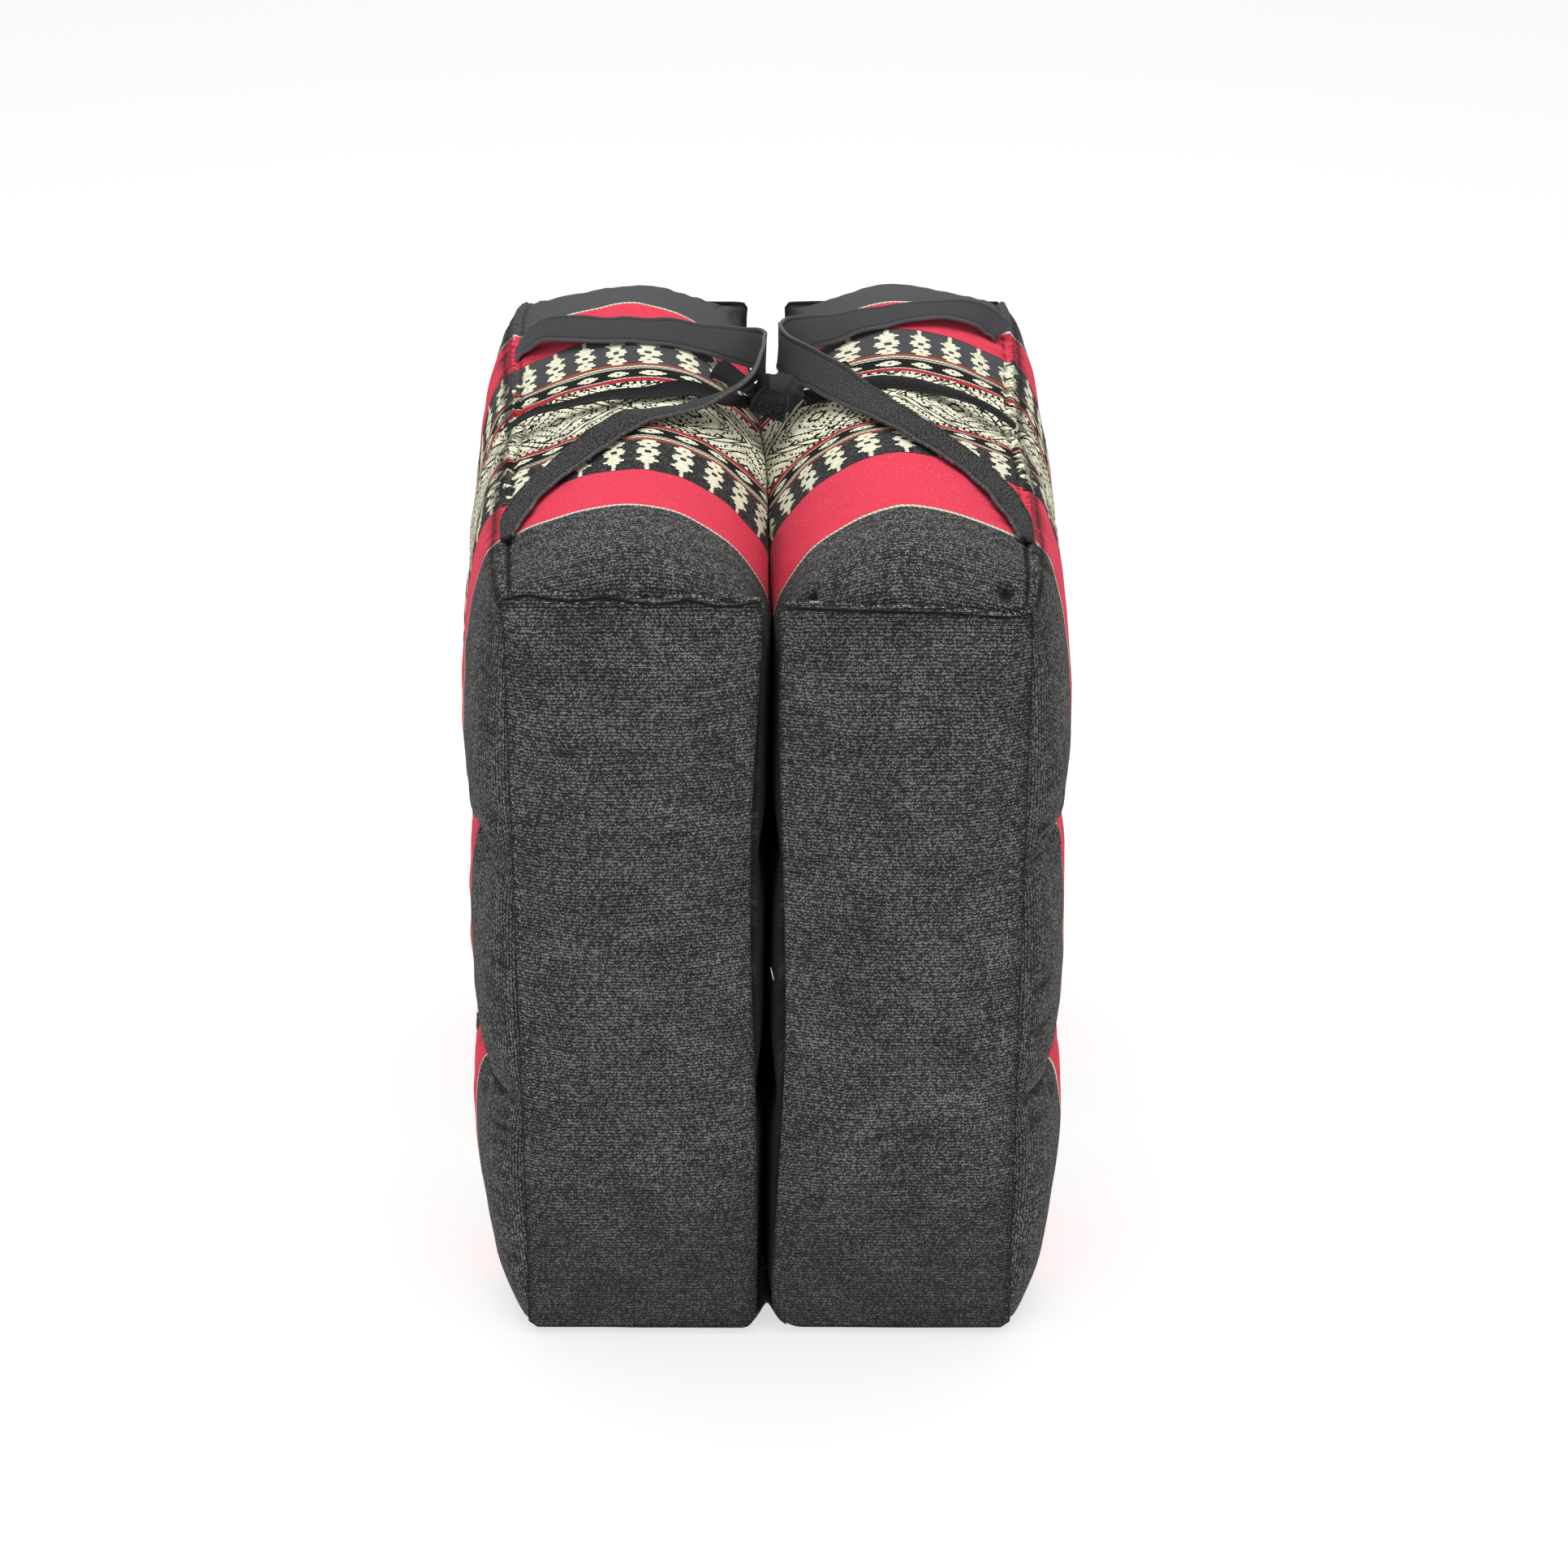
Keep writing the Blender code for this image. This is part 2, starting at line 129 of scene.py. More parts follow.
def ripples(u, v, size, seed, count=9):
    """Smooth lumps of about size across, from -1 to 1: a few crossed waves."""
    rng = np.random.default_rng(seed)
    total = 0.0 * u * v
    for _ in range(count):
        a = rng.uniform(0, math.tau)
        k = math.tau / size * rng.uniform(0.6, 1.4)
        total = total + np.sin(k * (math.cos(a) * u + math.sin(a) * v) + rng.uniform(0, math.tau))
    return total / math.sqrt(count)


# The halves' shape


def outer_channels():
    """The outer face, down from the long seam over its three channels to the foot."""
    ring = []
    marks = [
        (SEAM_REACH, SEAM_LIFT),
        (CREASE_REACH, CREASES[0]),
        (CREASE_REACH, CREASES[1]),
        (FOOT_REACH, 0.05),
    ]
    for k in range(3):
        (xa, za), (xb, zb) = marks[k], marks[k + 1]
        for i in range(CUTS_CHANNEL):
            q = 0.5 * i / CUTS_CHANNEL + 0.25 - 0.25 * math.cos(math.pi * i / CUTS_CHANNEL)
            rise = CHANNEL_RISE[k] * math.sqrt(max(0.0, 1.0 - abs(2.0 * q - 1.0) ** CHANNEL_POWER))
            ring.append((xa + (xb - xa) * q + rise, za + (zb - za) * q))
    return ring


def foot_and_inner():
    """The flat foot, its rounding, and the inner face up to the valley, dipping at the channel seams."""
    ring = []
    for i in range(CUTS_BOTTOM + 1):
        q = i / CUTS_BOTTOM
        ring.append((FOOT_FLAT + (FOOT_ROUND[0] - FOOT_FLAT) * q, 0.0))
    for i in range(1, CUTS_FOOT + 1):
        a = 0.5 * math.pi * i / CUTS_FOOT
        x = FOOT_ROUND[0] - (FOOT_ROUND[0] - CONTACT) * math.sin(a)
        ring.append((x, FOOT_ROUND[1] * (1.0 - math.cos(a))))
    inner = [FOOT_ROUND[1], CREASES[1], CREASES[0], VALLEY_Z]
    for k in range(3):
        for i in range(1, CUTS_INNER + 1):
            q = i / CUTS_INNER
            dip = 0.0
            if k < 2:
                dip = dip + INNER_DIP * hump(q, 1.0, 0.12)
            if k > 0:
                dip = dip + INNER_DIP * hump(q, 0.0, 0.12)
            ring.append((CONTACT + dip, inner[k] + (inner[k + 1] - inner[k]) * q))
    return ring


def crown():
    """The top, from the valley over its highest line and on towards the long seam."""
    ring = []
    for i in range(1, CUTS_TOP_INNER + 1):
        a = 0.5 * math.pi * i / CUTS_TOP_INNER
        x = CROWN_X - (CROWN_X - CONTACT) * math.cos(a) ** CROWN_POWER
        ring.append((x, VALLEY_Z + (CROWN_Z - VALLEY_Z) * math.sin(a) ** CROWN_POWER))
    for i in range(1, CUTS_TOP_OUTER):
        q = math.sin(0.5 * math.pi * i / CUTS_TOP_OUTER)
        x = CROWN_X + (SEAM_REACH - CROWN_X) * q
        ring.append((x, CROWN_Z - (CROWN_Z - SEAM_LIFT) * q ** CROWN_FALL))
    return ring


def full_girth():
    return np.array(outer_channels() + foot_and_inner() + crown())


FULL = full_girth()
N_SIDE = 3 * CUTS_CHANNEL
N_BOTTOM = N_SIDE + CUTS_BOTTOM + 1
N_FOOT = N_BOTTOM + CUTS_FOOT
N_INNER = N_FOOT + 3 * CUTS_INNER
N_CROWN = N_INNER + CUTS_TOP_INNER
N_ALL = len(FULL)


def end_point(i, cut):
    """Where point i of the girth is drawn in to at an end, on the panel's seam."""
    z = FULL[i][1]
    if i < N_SIDE:
        z = SEAM_BOTTOM + (SEAM_TOP - SEAM_BOTTOM) * z / SEAM_LIFT
        return PANEL_OUTER - FOOT_NARROWER * (1.0 - z / SEAM_TOP), z
    if i < N_BOTTOM:
        q = (i - N_SIDE) / CUTS_BOTTOM
        return END_FOOT_FLAT + (PANEL_INNER + cut[0] - END_FOOT_FLAT) * q, SEAM_BOTTOM
    if i < N_FOOT:
        a = 0.5 * math.pi * (i - N_BOTTOM + 1) / CUTS_FOOT
        return PANEL_INNER + cut[0] * (1.0 - math.sin(a)), SEAM_BOTTOM + cut[1] * (1.0 - math.cos(a))
    if i < N_INNER:
        return PANEL_INNER, max(z, SEAM_BOTTOM + cut[1] + 0.02 * (i - N_FOOT + 1))
    if i < N_CROWN:
        q = (i - N_INNER + 1) / CUTS_TOP_INNER
        if q < END_RISE_SHARE:
            return PANEL_INNER, VALLEY_Z + (SEAM_TOP - VALLEY_Z) * q / END_RISE_SHARE
        q = (q - END_RISE_SHARE) / (1.0 - END_RISE_SHARE)
        return PANEL_INNER + (CROWN_X - PANEL_INNER) * q, SEAM_TOP
    q = math.sin(0.5 * math.pi * (i - N_CROWN + 1) / CUTS_TOP_OUTER)
    return CROWN_X + (PANEL_OUTER - CROWN_X) * q, SEAM_TOP


def end_girth(side):
    return np.array([end_point(i, END_CUTS[side]) for i in range(N_ALL)])


ENDS = {-1: end_girth(-1), 1: end_girth(1)}


def lean(z):
    """How far the line between the halves lies beside the centre at a height."""
    return 0.25 - 0.65 * (1.0 - z / SEAM_TOP)


def placed(side, x, y, z, full):
    """Points of one half set in place: it spreads and rises to the far end and leans with the other."""
    t = y / HALF_LENGTH
    inner = np.clip(1.0 - x / PANEL_OUTER, 0.0, 1.0)
    spread = smooth((t + 0.1) / 1.1)
    if side < 0:
        apart = 1.25 * spread * inner + (1.0 - inner) * (t + 1.0) / 2 * (0.2 + 0.9 * full)
    else:
        apart = 0.3 * spread * inner
    pull = 0.3 * np.exp(-((t - 0.05) / 0.3) ** 2) * (1.0 - inner) * smooth((z - 38.0) / 5.0)
    rise = 0.35 * smooth(t) * np.clip((z - 40.0) / 4.0, 0.0, 1.0)
    if side > 0:
        rise = rise - 0.55 * smooth((-0.88 - t) / 0.12) * np.clip((z - 30.0) / 13.0, 0.0, 1.0)
    return side * (x + apart - pull) + lean(z) * inner + CENTRE_SHIFT, y + 0.0 * x, z + rise


def fullness(t, power):
    """How far the cloth is filled out at t, from -1 at the near end to 1 at the far one."""
    return np.sqrt(np.clip(1.0 - np.abs(t) ** power, 0.0, 1.0))


def section(side, t):
    """The girth of one half at t."""
    end = ENDS[side]
    high = smooth((FULL[:, 1] - SEAM_TOP + 1.0) / 1.5)
    w = fullness(t, SIDE_POWER) * (1.0 - high) + fullness(t, TOP_POWER) * high
    foot = FULL[:, 1] <= 0.0
    w = np.where(foot, np.minimum(1.0, 1.08 * w), w)
    x = end[:, 0] + (FULL[:, 0] - end[:, 0]) * w
    z = end[:, 1] + (FULL[:, 1] - end[:, 1]) * w
    x, y, z = placed(side, x, np.full(len(x), t * HALF_LENGTH), z, w)
    return np.stack([x, y, z], axis=1)


def station_list():
    """Places along the length, closer together towards the ends."""
    s = np.linspace(-1.0, 1.0, STATION_COUNT)
    t = 0.45 * np.sin(s * math.pi / 2) + 0.55 * s
    return np.sign(t) * (1.0 - (1.0 - np.abs(t)) ** 1.25)


STATIONS = station_list()


def outward_normals(grid):
    """Outward normals of a grid of points, rows along the length and columns round the girth."""
    down = np.gradient(grid, axis=0)
    across = np.roll(grid, -1, axis=1) - np.roll(grid, 1, axis=1)
    normal = np.cross(down, across)
    normal /= np.maximum(np.linalg.norm(normal, axis=2, keepdims=True), 1e-9)
    out = grid - grid.mean(axis=1, keepdims=True)
    return -normal if (normal * out).sum() < 0 else normal


def averaged(values, rounds):
    """Values round a ring, each averaged with its two neighbours a few times."""
    for _ in range(rounds):
        values = (np.roll(values, 1, axis=-1) + np.roll(values, -1, axis=-1) + values) / 3.0
    return values


# Where the banded cloth's own places lie along each half, by its length from the middle
PATTERN_PLACES = (-24.0, -20.0, -14.3, -9.3, -5.44, -3.45, 3.45, 5.44, 9.3, 14.3, 20.0, 24.0)
CLOTH_PLACES = {
    -1: (-24.0, -20.0, -14.3, -9.77, -5.93, -4.2, 2.75, 4.81, 8.75, 13.3, 20.0, 24.0),
    1: (-24.0, -20.0, -14.6, -7.6, -4.4, -2.95, 4.1, 6.19, 9.66, 13.8, 20.0, 24.0),
}
PATTERN_SLIDE = {-1: (0.87, 0.0), 1: (0.07, -0.045)}


BUMP_PITCH = 0.62
PINCHES = (2.0, 12.0)
TANGLE_END = 14.6


def cloth_distances(grid):
    """How far each point lies round the half from its long seam, and along it from the middle."""
    step_v = np.linalg.norm(np.diff(grid, axis=0), axis=2)
    v = np.vstack([np.zeros((1, N_ALL)), np.cumsum(step_v, axis=0)])
    middle = len(grid) // 2
    step_u = np.linalg.norm(np.diff(grid[middle], axis=0), axis=1)
    u = np.concatenate([[0.0], np.cumsum(step_u)])
    around = u[-1] + np.linalg.norm(grid[middle][0] - grid[middle][-1])
    u = np.where(np.arange(N_ALL) >= N_INNER, around - u, -u)
    return np.tile(u, (len(grid), 1)), v - v[middle]


def soft_relief(u, v, side, on_crown, inside):
    """The filling's slow lumps, and the dip where the ribbon is tied over the seam and the crown."""
    lumps = 0.05 * ripples(u, v, 8.0, 3 + side) + 0.03 * ripples(u, v, 3.4, 8 + side)
    tied = 0.3 * hump(v, 0.4, 1.6) * hump(np.abs(u), 0.3, 2.2)
    pressed = 0.12 * hump(v, 0.0, 5.0) * on_crown * smooth(u / 2.0)
    return lumps * inside - tied - pressed


def seam_relief(u, v, side):
    """The long seam at the top outer edge: gathered bumps on a ridge, with pulls on both sides."""
    seam = np.abs(u)
    beat = v + 0.25 * ripples(0.0 * u, v, 3.0, 17 + side, 5)
    bumps = 0.5 + 0.5 * np.sin(math.tau * beat / BUMP_PITCH + 1.6 * u)
    ridge = hump(u, 0.05, 0.24) * (0.08 + 0.18 * bumps)
    pull = hump(seam, 0.5, 0.45) * (0.5 - bumps) * 0.07
    far_pull = hump(seam, 0.9, 1.5) * 0.045 * ripples(0.12 * u, v, 1.25, 31 + side, 7)
    groove = -0.07 * hump(u, -0.4, 0.18) - 0.10 * hump(u, 0.42, 0.16)
    return (ridge + pull + far_pull + groove) * smooth((HALF_LENGTH + 0.2 - np.abs(v)) / 0.6)


def channel_relief(u, v, z, crease):
    """One channel seam on the outer face, drawn in, with puckers beside it."""
    off = np.abs(z - crease)
    puckers = 0.11 * ripples(0.2 * u, v, 1.7, 50 + int(crease), 7) * hump(off, 0.9, 1.3)
    return puckers - 0.2 * hump(off, 0.0, 0.3)


def gather_relief(u, v, side, edge):
    """Gathers that run in from the end seams."""
    gathers = 0.045 * ripples(u, 0.15 * v, 1.2, 61 + side, 7) * hump(edge, 0.7, 1.1)
    return gathers * smooth(edge / 0.4)


def pinch_relief(x, edge):
    """Two pinches in the top of an end with a fold beside each: their relief and the painted shade in
    their holes.
    """
    relief = 0.0 * x
    painted_pit_shade = 0.0 * x
    for place in PINCHES:
        away = ((x - place) / 0.5) ** 2 + ((edge - 0.55) / 0.4) ** 2
        fold = np.exp(-((x - place - 0.8) / 0.35) ** 2 - ((edge - 0.9) / 1.1) ** 2)
        relief = relief - 0.5 * np.exp(-away) + 0.16 * fold
        painted_pit_shade = painted_pit_shade + 0.45 * np.exp(-1.6 * away)
    return relief, painted_pit_shade


def hollows(fine):
    """How much lower each point lies than the cloth about it."""
    level = fine
    for _ in range(4):
        level = averaged(level, 1)
        level[1:-1] = (level[2:] + level[:-2] + level[1:-1]) / 3.0
    return level - fine


def relief_share(index, touching, edge):
    """1 where the cloth is free, falling to 0 where it lies on the floor, the other half or a seam."""
    on_foot = (index >= N_SIDE - 4) & (index <= N_BOTTOM)
    share = np.where(touching | on_foot, 0.0, 1.0)
    for _ in range(5):
        beside = np.roll(share, 1, axis=1) + np.roll(share, -1, axis=1)
        share = np.minimum(share, 0.5 * share + 0.25 * beside)
    return share * smooth(edge / 0.2)


def press_together(grid, side, on_crown, inside):
    """Press the halves on each other along a wandering line, so that no light comes through."""
    near_fold = np.clip(1.0 - np.abs(grid[:, :, 0] - CENTRE_SHIFT) / 5.0, 0.0, 1.0)
    y, z = grid[:, :, 1], grid[:, :, 2]
    x = grid[:, :, 0] - CENTRE_SHIFT
    fuller = 1.5 * hump(y, 4.0, 10.0) * smooth((18.5 - np.abs(y)) / 3.0) * on_crown * inside
    fuller = fuller * np.clip(1.0 - (np.abs(x) / CROWN_X) ** 2, 0.0, 1.0)
    pressed = side * np.maximum(np.minimum(np.abs(x), CONTACT), np.abs(x) - fuller)
    wander = -0.85 * hump(y, 7.0, 7.0) * smooth((17.5 - np.abs(y)) / 4.0) * smooth((z - 3.0) / 3.0)
    grid[:, :, 0] = np.where(on_crown, pressed, x) + CENTRE_SHIFT + wander * near_fold
    grid[:, :, 2] = np.maximum(grid[:, :, 2], 0.0)


def pattern_places(u, v, side):
    """Where each point lies in the banded cloth's pattern, which tangles near the long seam."""
    slide, shear = PATTERN_SLIDE[side]
    along = np.interp(v, CLOTH_PLACES[side], PATTERN_PLACES)
    tangle = hump(u, 0.0, 0.45) * smooth((TANGLE_END - np.abs(along)) / 0.5)
    pattern_u = u + slide + shear * v + 0.35 * tangle * ripples(u, v, 0.9, 5, 6)
    pattern_v = along + 0.3 * tangle * ripples(u, v, 0.8, 6, 6)
    return np.stack([pattern_u, pattern_v], axis=2)


def half_grid(side):
    """One half's points, its pattern's places on them, and the painted shade of each in creases,
    hollows, the valley and the gap between the halves.
    """
    grid = np.array([section(side, t) for t in STATIONS])
    u, v = cloth_distances(grid)
    t = STATIONS[:, None]
    inside = fullness(t, SIDE_POWER)
    index = np.arange(N_ALL)[None, :]
    on_crown = index >= N_INNER
    touching = (index >= N_BOTTOM) & (index < N_INNER + CUTS_TOP_INNER // 5)
    inner_face = (index >= N_BOTTOM) & (index < N_INNER + 2)
    edge = np.clip(1.0 - np.abs(t), 0.0, 1.0) * HALF_LENGTH
    x = grid[:, :, 0] - CENTRE_SHIFT

    fine = seam_relief(u, v, side)
    for crease in CREASES:
        fine = fine + (index < N_SIDE) * inside * channel_relief(u, v, grid[:, :, 2], crease)
    fine = fine + gather_relief(u, v, side, edge)
    painted_pit_shade = 0.0 * x
    if side > 0:
        near_top = (t < 0) * on_crown
        relief, painted_pit_shade = pinch_relief(x, edge)
        fine = fine + relief * near_top
        painted_pit_shade = painted_pit_shade * near_top
    free = relief_share(index, touching, edge)

    # Painted shade: in the crease beside the long seam at the near end, in the hollows of the fine
    # relief and the pinch holes, along the valley between the halves, in the gap at their near ends and
    # over their inner faces.
    painted_corner_shade = 1.2 * hump(u, 0.42, 0.13) * smooth((t + 0.6) / -0.1) * (t < 0)
    painted_shade = np.clip(hollows(fine) / 0.07 + painted_pit_shade + painted_corner_shade, 0.0, 1.0) * free
    painted_shade = np.maximum(painted_shade, 0.52 * np.exp(-np.abs(x) / 1.1) * on_crown)
    painted_shade = np.maximum(painted_shade, 0.95 * touching * smooth((-t - 0.9) / 0.05))
    painted_shade = np.maximum(painted_shade, inner_face)

    relief = (soft_relief(u, v, side, on_crown, inside) + fine) * free
    grid = grid + outward_normals(grid) * relief[:, :, None]
    press_together(grid, side, on_crown, inside)
    return grid, pattern_places(u, v, side), painted_shade


def build_mesh(name, points, faces, uv, material, painted_shade=None):
    """A smooth mesh piece, from points in centimetres, with its places on the cloth and, where given,
    each point's painted shade.
    """
    mesh = bpy.data.meshes.new(name)
    mesh.from_pydata([tuple(p) for p in (np.asarray(points) * CM).tolist()], [], faces)
    layer = mesh.uv_layers.new(name="cloth")
    loops = np.empty(len(mesh.loops), dtype=np.int32)
    mesh.loops.foreach_get("vertex_index", loops)
    layer.data.foreach_set("uv", np.asarray(uv)[loops].astype(np.float32).ravel())
    if painted_shade is not None:
        layer = mesh.attributes.new("painted_shade", "FLOAT", "POINT")
        layer.data.foreach_set("value", np.asarray(painted_shade, dtype=np.float32).ravel())
    shell = bmesh.new()
    shell.from_mesh(mesh)
    bmesh.ops.recalc_face_normals(shell, faces=shell.faces)
    shell.to_mesh(mesh)
    shell.free()
    mesh.polygons.foreach_set("use_smooth", [True] * len(mesh.polygons))
    mesh.materials.append(material)
    mesh.update()
    obj = bpy.data.objects.new(name, mesh)
    looks.objects.link(obj)
    return obj


def ring_faces(rows, count, start=0):
    """The faces between closed rings of points, one after another."""
    faces = []
    for k in range(rows - 1):
        for i in range(count):
            j = (i + 1) % count
            a = start + k * count
            faces.append((a + i, a + j, a + count + j, a + count + i))
    return faces


def tube_faces(rows, count, start=0):
    """The faces of a tube of rings, with a cap on each end."""
    last = start + (rows - 1) * count
    caps = [tuple(range(start, start + count)), tuple(range(last, last + count))]
    return ring_faces(rows, count, start) + caps


def end_rings(ring, sign, shares):
    """Rings inside an end's own, at shares of its size, crowned a little outwards."""
    middle = ring.mean(axis=0)
    rings = []
    for r in shares:
        p = middle + (ring - middle) * r
        p[:, 1] = ring[:, 1] + sign * END_CROWN * (1.0 - r * r)
        rings.append(p)
    return rings


def make_half(name, side):
    grid, places, painted_shade = half_grid(side)
    shares = (0.8, 0.5, 0.2)
    near = end_rings(grid[0], -1.0, shares[::-1])
    far = end_rings(grid[-1], 1.0, shares)
    rings = near + list(grid) + far
    order = [0] * len(near) + list(range(len(grid))) + [len(grid) - 1] * len(far)
    points = np.vstack(rings)
    faces = tube_faces(len(rings), N_ALL)
    uv = np.vstack([places[k] for k in order])
    return build_mesh(name, points, faces, uv, woven, np.hstack([painted_shade[k] for k in order])), grid


def crown_table(grid):
    """Each station's top, sorted by x, to read heights from."""
    table = []
    for k in range(len(grid)):
        top = np.vstack([grid[k][N_INNER:], grid[k][:3]])
        order = np.argsort(top[:, 0])
        table.append((top[order, 0], top[order, 2]))
    return table


def crown_height(table, x, y):
    """The top's height at a place, between two stations."""
    t = np.clip(y / HALF_LENGTH, -0.999, 0.999)
    k = int(np.clip(np.searchsorted(STATIONS, t) - 1, 0, len(STATIONS) - 2))
    f = (t - STATIONS[k]) / (STATIONS[k + 1] - STATIONS[k])
    a = np.interp(x, table[k][0], table[k][1])
    b = np.interp(x, table[k + 1][0], table[k + 1][1])
    return float(a + (b - a) * f)


# Materials


class Value:
    """One value of a node tree, which takes plain signs."""

    def __init__(self, graph, socket):
        self.graph = graph
        self.socket = socket

    def __add__(self, other):
        return self.graph.m("ADD", self, other)

    def __sub__(self, other):
        return self.graph.m("SUBTRACT", self, other)

    def __rsub__(self, other):
        return self.graph.m("SUBTRACT", other, self)

    def __mul__(self, other):
        return self.graph.m("MULTIPLY", self, other)

    __radd__ = __add__
    __rmul__ = __mul__


class Graph:
    """A material's node tree, with short calls that add its nodes."""

    def __init__(self, name):
        self.material = bpy.data.materials.new(name)
        self.material.use_nodes = True
        self.tree = self.material.node_tree
        self.shader = self.tree.nodes["Principled BSDF"]

    def put(self, socket, value):
        if isinstance(value, Value):
            value = value.socket
        if isinstance(value, bpy.types.NodeSocket):
            self.tree.links.new(value, socket)
        else:
            socket.default_value = value

    def node(self, kind, inputs=None, **settings):
        """A new node of a kind, with its settings, and its inputs by name or number."""
        node = self.tree.nodes.new("ShaderNode" + kind)
        for name, value in settings.items():
            setattr(node, name, value)
        for key, value in (inputs or {}).items():
            self.put(node.inputs[key], value)
        return node

    def m(self, operation, a, b=0.0):
        return Value(self, self.node("Math", {0: a, 1: b}, operation=operation).outputs[0])

    def less(self, a, b):
        return self.m("LESS_THAN", a, b)

    def more(self, a, b):
        return self.m("GREATER_THAN", a, b)

    def near(self, a, middle, reach):
        """1 where a is within reach of middle."""
        return self.less(self.m("ABSOLUTE", a - middle), reach)

    def step(self, a, low, high):
        """From 0 at low to 1 at high, smoothly."""
        inputs = {"Value": a, "From Min": low, "From Max": high}
        node = self.node("MapRange", inputs, interpolation_type="SMOOTHSTEP")
        return Value(self, node.outputs["Result"])

    def fract(self, a):
        return self.m("FRACT", a)

    def split(self, socket):
        """The first three values of a place."""
        node = self.node("SeparateXYZ", {0: socket})
        return [Value(self, output) for output in node.outputs]

    def uv(self):
        return self.split(self.node("UVMap", uv_map="cloth").outputs["UV"])[:2]

    def place(self, x, y):
        return self.node("CombineXYZ", {0: x, 1: y}).outputs[0]

    def noise(self, where, scale, detail=2.0, rough=0.5):
        inputs = {"Vector": where, "Scale": scale, "Detail": detail, "Roughness": rough}
        return Value(self, self.node("TexNoise", inputs).outputs["Fac"])

    def chance(self, x, y):
        """A value of its own for each whole x and y."""
        node = self.node("TexWhiteNoise", {"Vector": self.place(x, y)}, noise_dimensions="2D")
        return Value(self, node.outputs["Value"])

    def most(self, *values):
        total = values[0]
        for value in values[1:]:
            total = self.m("MAXIMUM", total, value)
        return total

    def gap(self, a):
        """How far a is from the middle of its whole step, 0 to 0.5."""
        return self.m("ABSOLUTE", self.fract(a) - 0.5)

    def ramp(self, value, stops, constant=True):
        """Colours, or grey values, by place."""
        node = self.tree.nodes.new("ShaderNodeValToRGB")
        ramp = node.color_ramp
        ramp.interpolation = "CONSTANT" if constant else "LINEAR"
        while len(ramp.elements) > 1:
            ramp.elements.remove(ramp.elements[-1])
        for i, (at, colour) in enumerate(stops):
            if i == 0:
                element = ramp.elements[0]
                element.position = at
            else:
                element = ramp.elements.new(at)
            if not hasattr(colour, "__len__"):
                colour = (colour, colour, colour)
            element.color = (*colour, 1.0)
        self.put(node.inputs[0], value)
        return Value(self, node.outputs[0])

    def mix(self, amount, a, b):
        """Colour a where amount is 0, and b where it is 1."""
        pair = [(*c, 1.0) if isinstance(c, tuple) else c for c in (a, b)]
        return self.node("Mix", {0: amount, 6: pair[0], 7: pair[1]}, data_type="RGBA").outputs[2]

    def bump(self, height, distance, strength, after=None):
        inputs = {"Height": height, "Distance": distance, "Strength": strength}
        if after is not None:
            inputs["Normal"] = after
        return self.node("Bump", inputs).outputs[0]


BLACK = (0.0065, 0.0065, 0.007)
FLECK = (0.44, 0.44, 0.425)
RED = (0.80, 0.056, 0.105)
LINE_RED = (0.45, 0.025, 0.04)
ORANGE = (0.55, 0.075, 0.03)
CREAM = (1.0, 0.98, 0.74)
WHITE = (0.75, 0.73, 0.60)
# The dark thread of the bands, and also the colour of the painted shade in creases and along the tape's
# folds
DARK_THREAD_AND_SHADE = (0.012, 0.012, 0.011)
PICK_SHADE = (0.10, 0.095, 0.07)
CREAM_SHADE = (0.50, 0.48, 0.30)
TWIST_SHADE = (0.14, 0.13, 0.10)
RED_SPECK = (0.95, 0.45, 0.50)
# How much lighter the black cloth and the tape are on top at the far end
FAR_TOP_LIGHTER = 13.0
FAR_TOP_LIGHTER_TAPE = 8.0


def scaled(colour, share):
    return tuple(c * share for c in colour)


# Threads in a centimetre
WEAVE_ROWS = 10.5
WEAVE_COLUMNS = 11.5


def weave(g, u, v):
    """A coarse plain weave: a fleck where each thread comes up, every other row half a step over."""
    bend = g.noise(g.place(u * 0.25, v * 0.25), 1.0, 1.0) * 1.8
    r = v * WEAVE_ROWS + bend
    row = g.m("FLOOR", r)
    c = u * WEAVE_COLUMNS + (bend * 0.8 + g.fract(row * 0.5))
    column = g.m("FLOOR", c)
    shape = g.step(g.gap(r), 0.5, 0.22) * g.step(g.gap(c), 0.5, 0.18)
    pair = g.m("FLOOR", r * 0.5)
    slub = g.noise(g.place(u * 0.25, pair * 3.71), 1.0, 2.0, 0.6)
    thread = g.noise(g.place(column * 5.13, v * 0.5), 1.0, 1.0, 0.6)
    rows_shown = g.step(slub * 1.5 + thread * 0.4, 0.7, 1.2)
    bright = g.m("POWER", g.chance(column, row), 2.4)
    pair_tone = 0.35 + g.step(g.gap(r * 0.5), 0.1, 0.4) * 1.05
    strength = pair_tone * (0.82 + rows_shown * 0.4)
    level = (0.14 + bright * 1.1) * strength
    return shape * level, shape + level * 0.5


# The black cloth lighter on top at the far end, by height in metres
FAR_TOP_FROM = 0.425
FAR_TOP_TO = 0.44


def far_share(g, near, far):
    """On the top, 0 up to the near place on the y axis, in metres, and 1 beyond the far one."""
    _, y, z = g.split(g.node("TexCoord").outputs["Object"])
    return g.step(y, near, far) * g.step(z, FAR_TOP_FROM, FAR_TOP_TO)


def with_painted_shade(g, colour):
    """Painted shade: darker by each point's painted shade value, in creases, hollows, the valley and the
    gap between the halves.
    """
    depth = Value(g, g.node("Attribute", attribute_name="painted_shade").outputs["Fac"])
    return g.mix(depth * 0.92, colour, DARK_THREAD_AND_SHADE)


CLOTH_SURFACE = {"Roughness": 0.9, "Specular IOR Level": 0.06, "Sheen Roughness": 0.5}


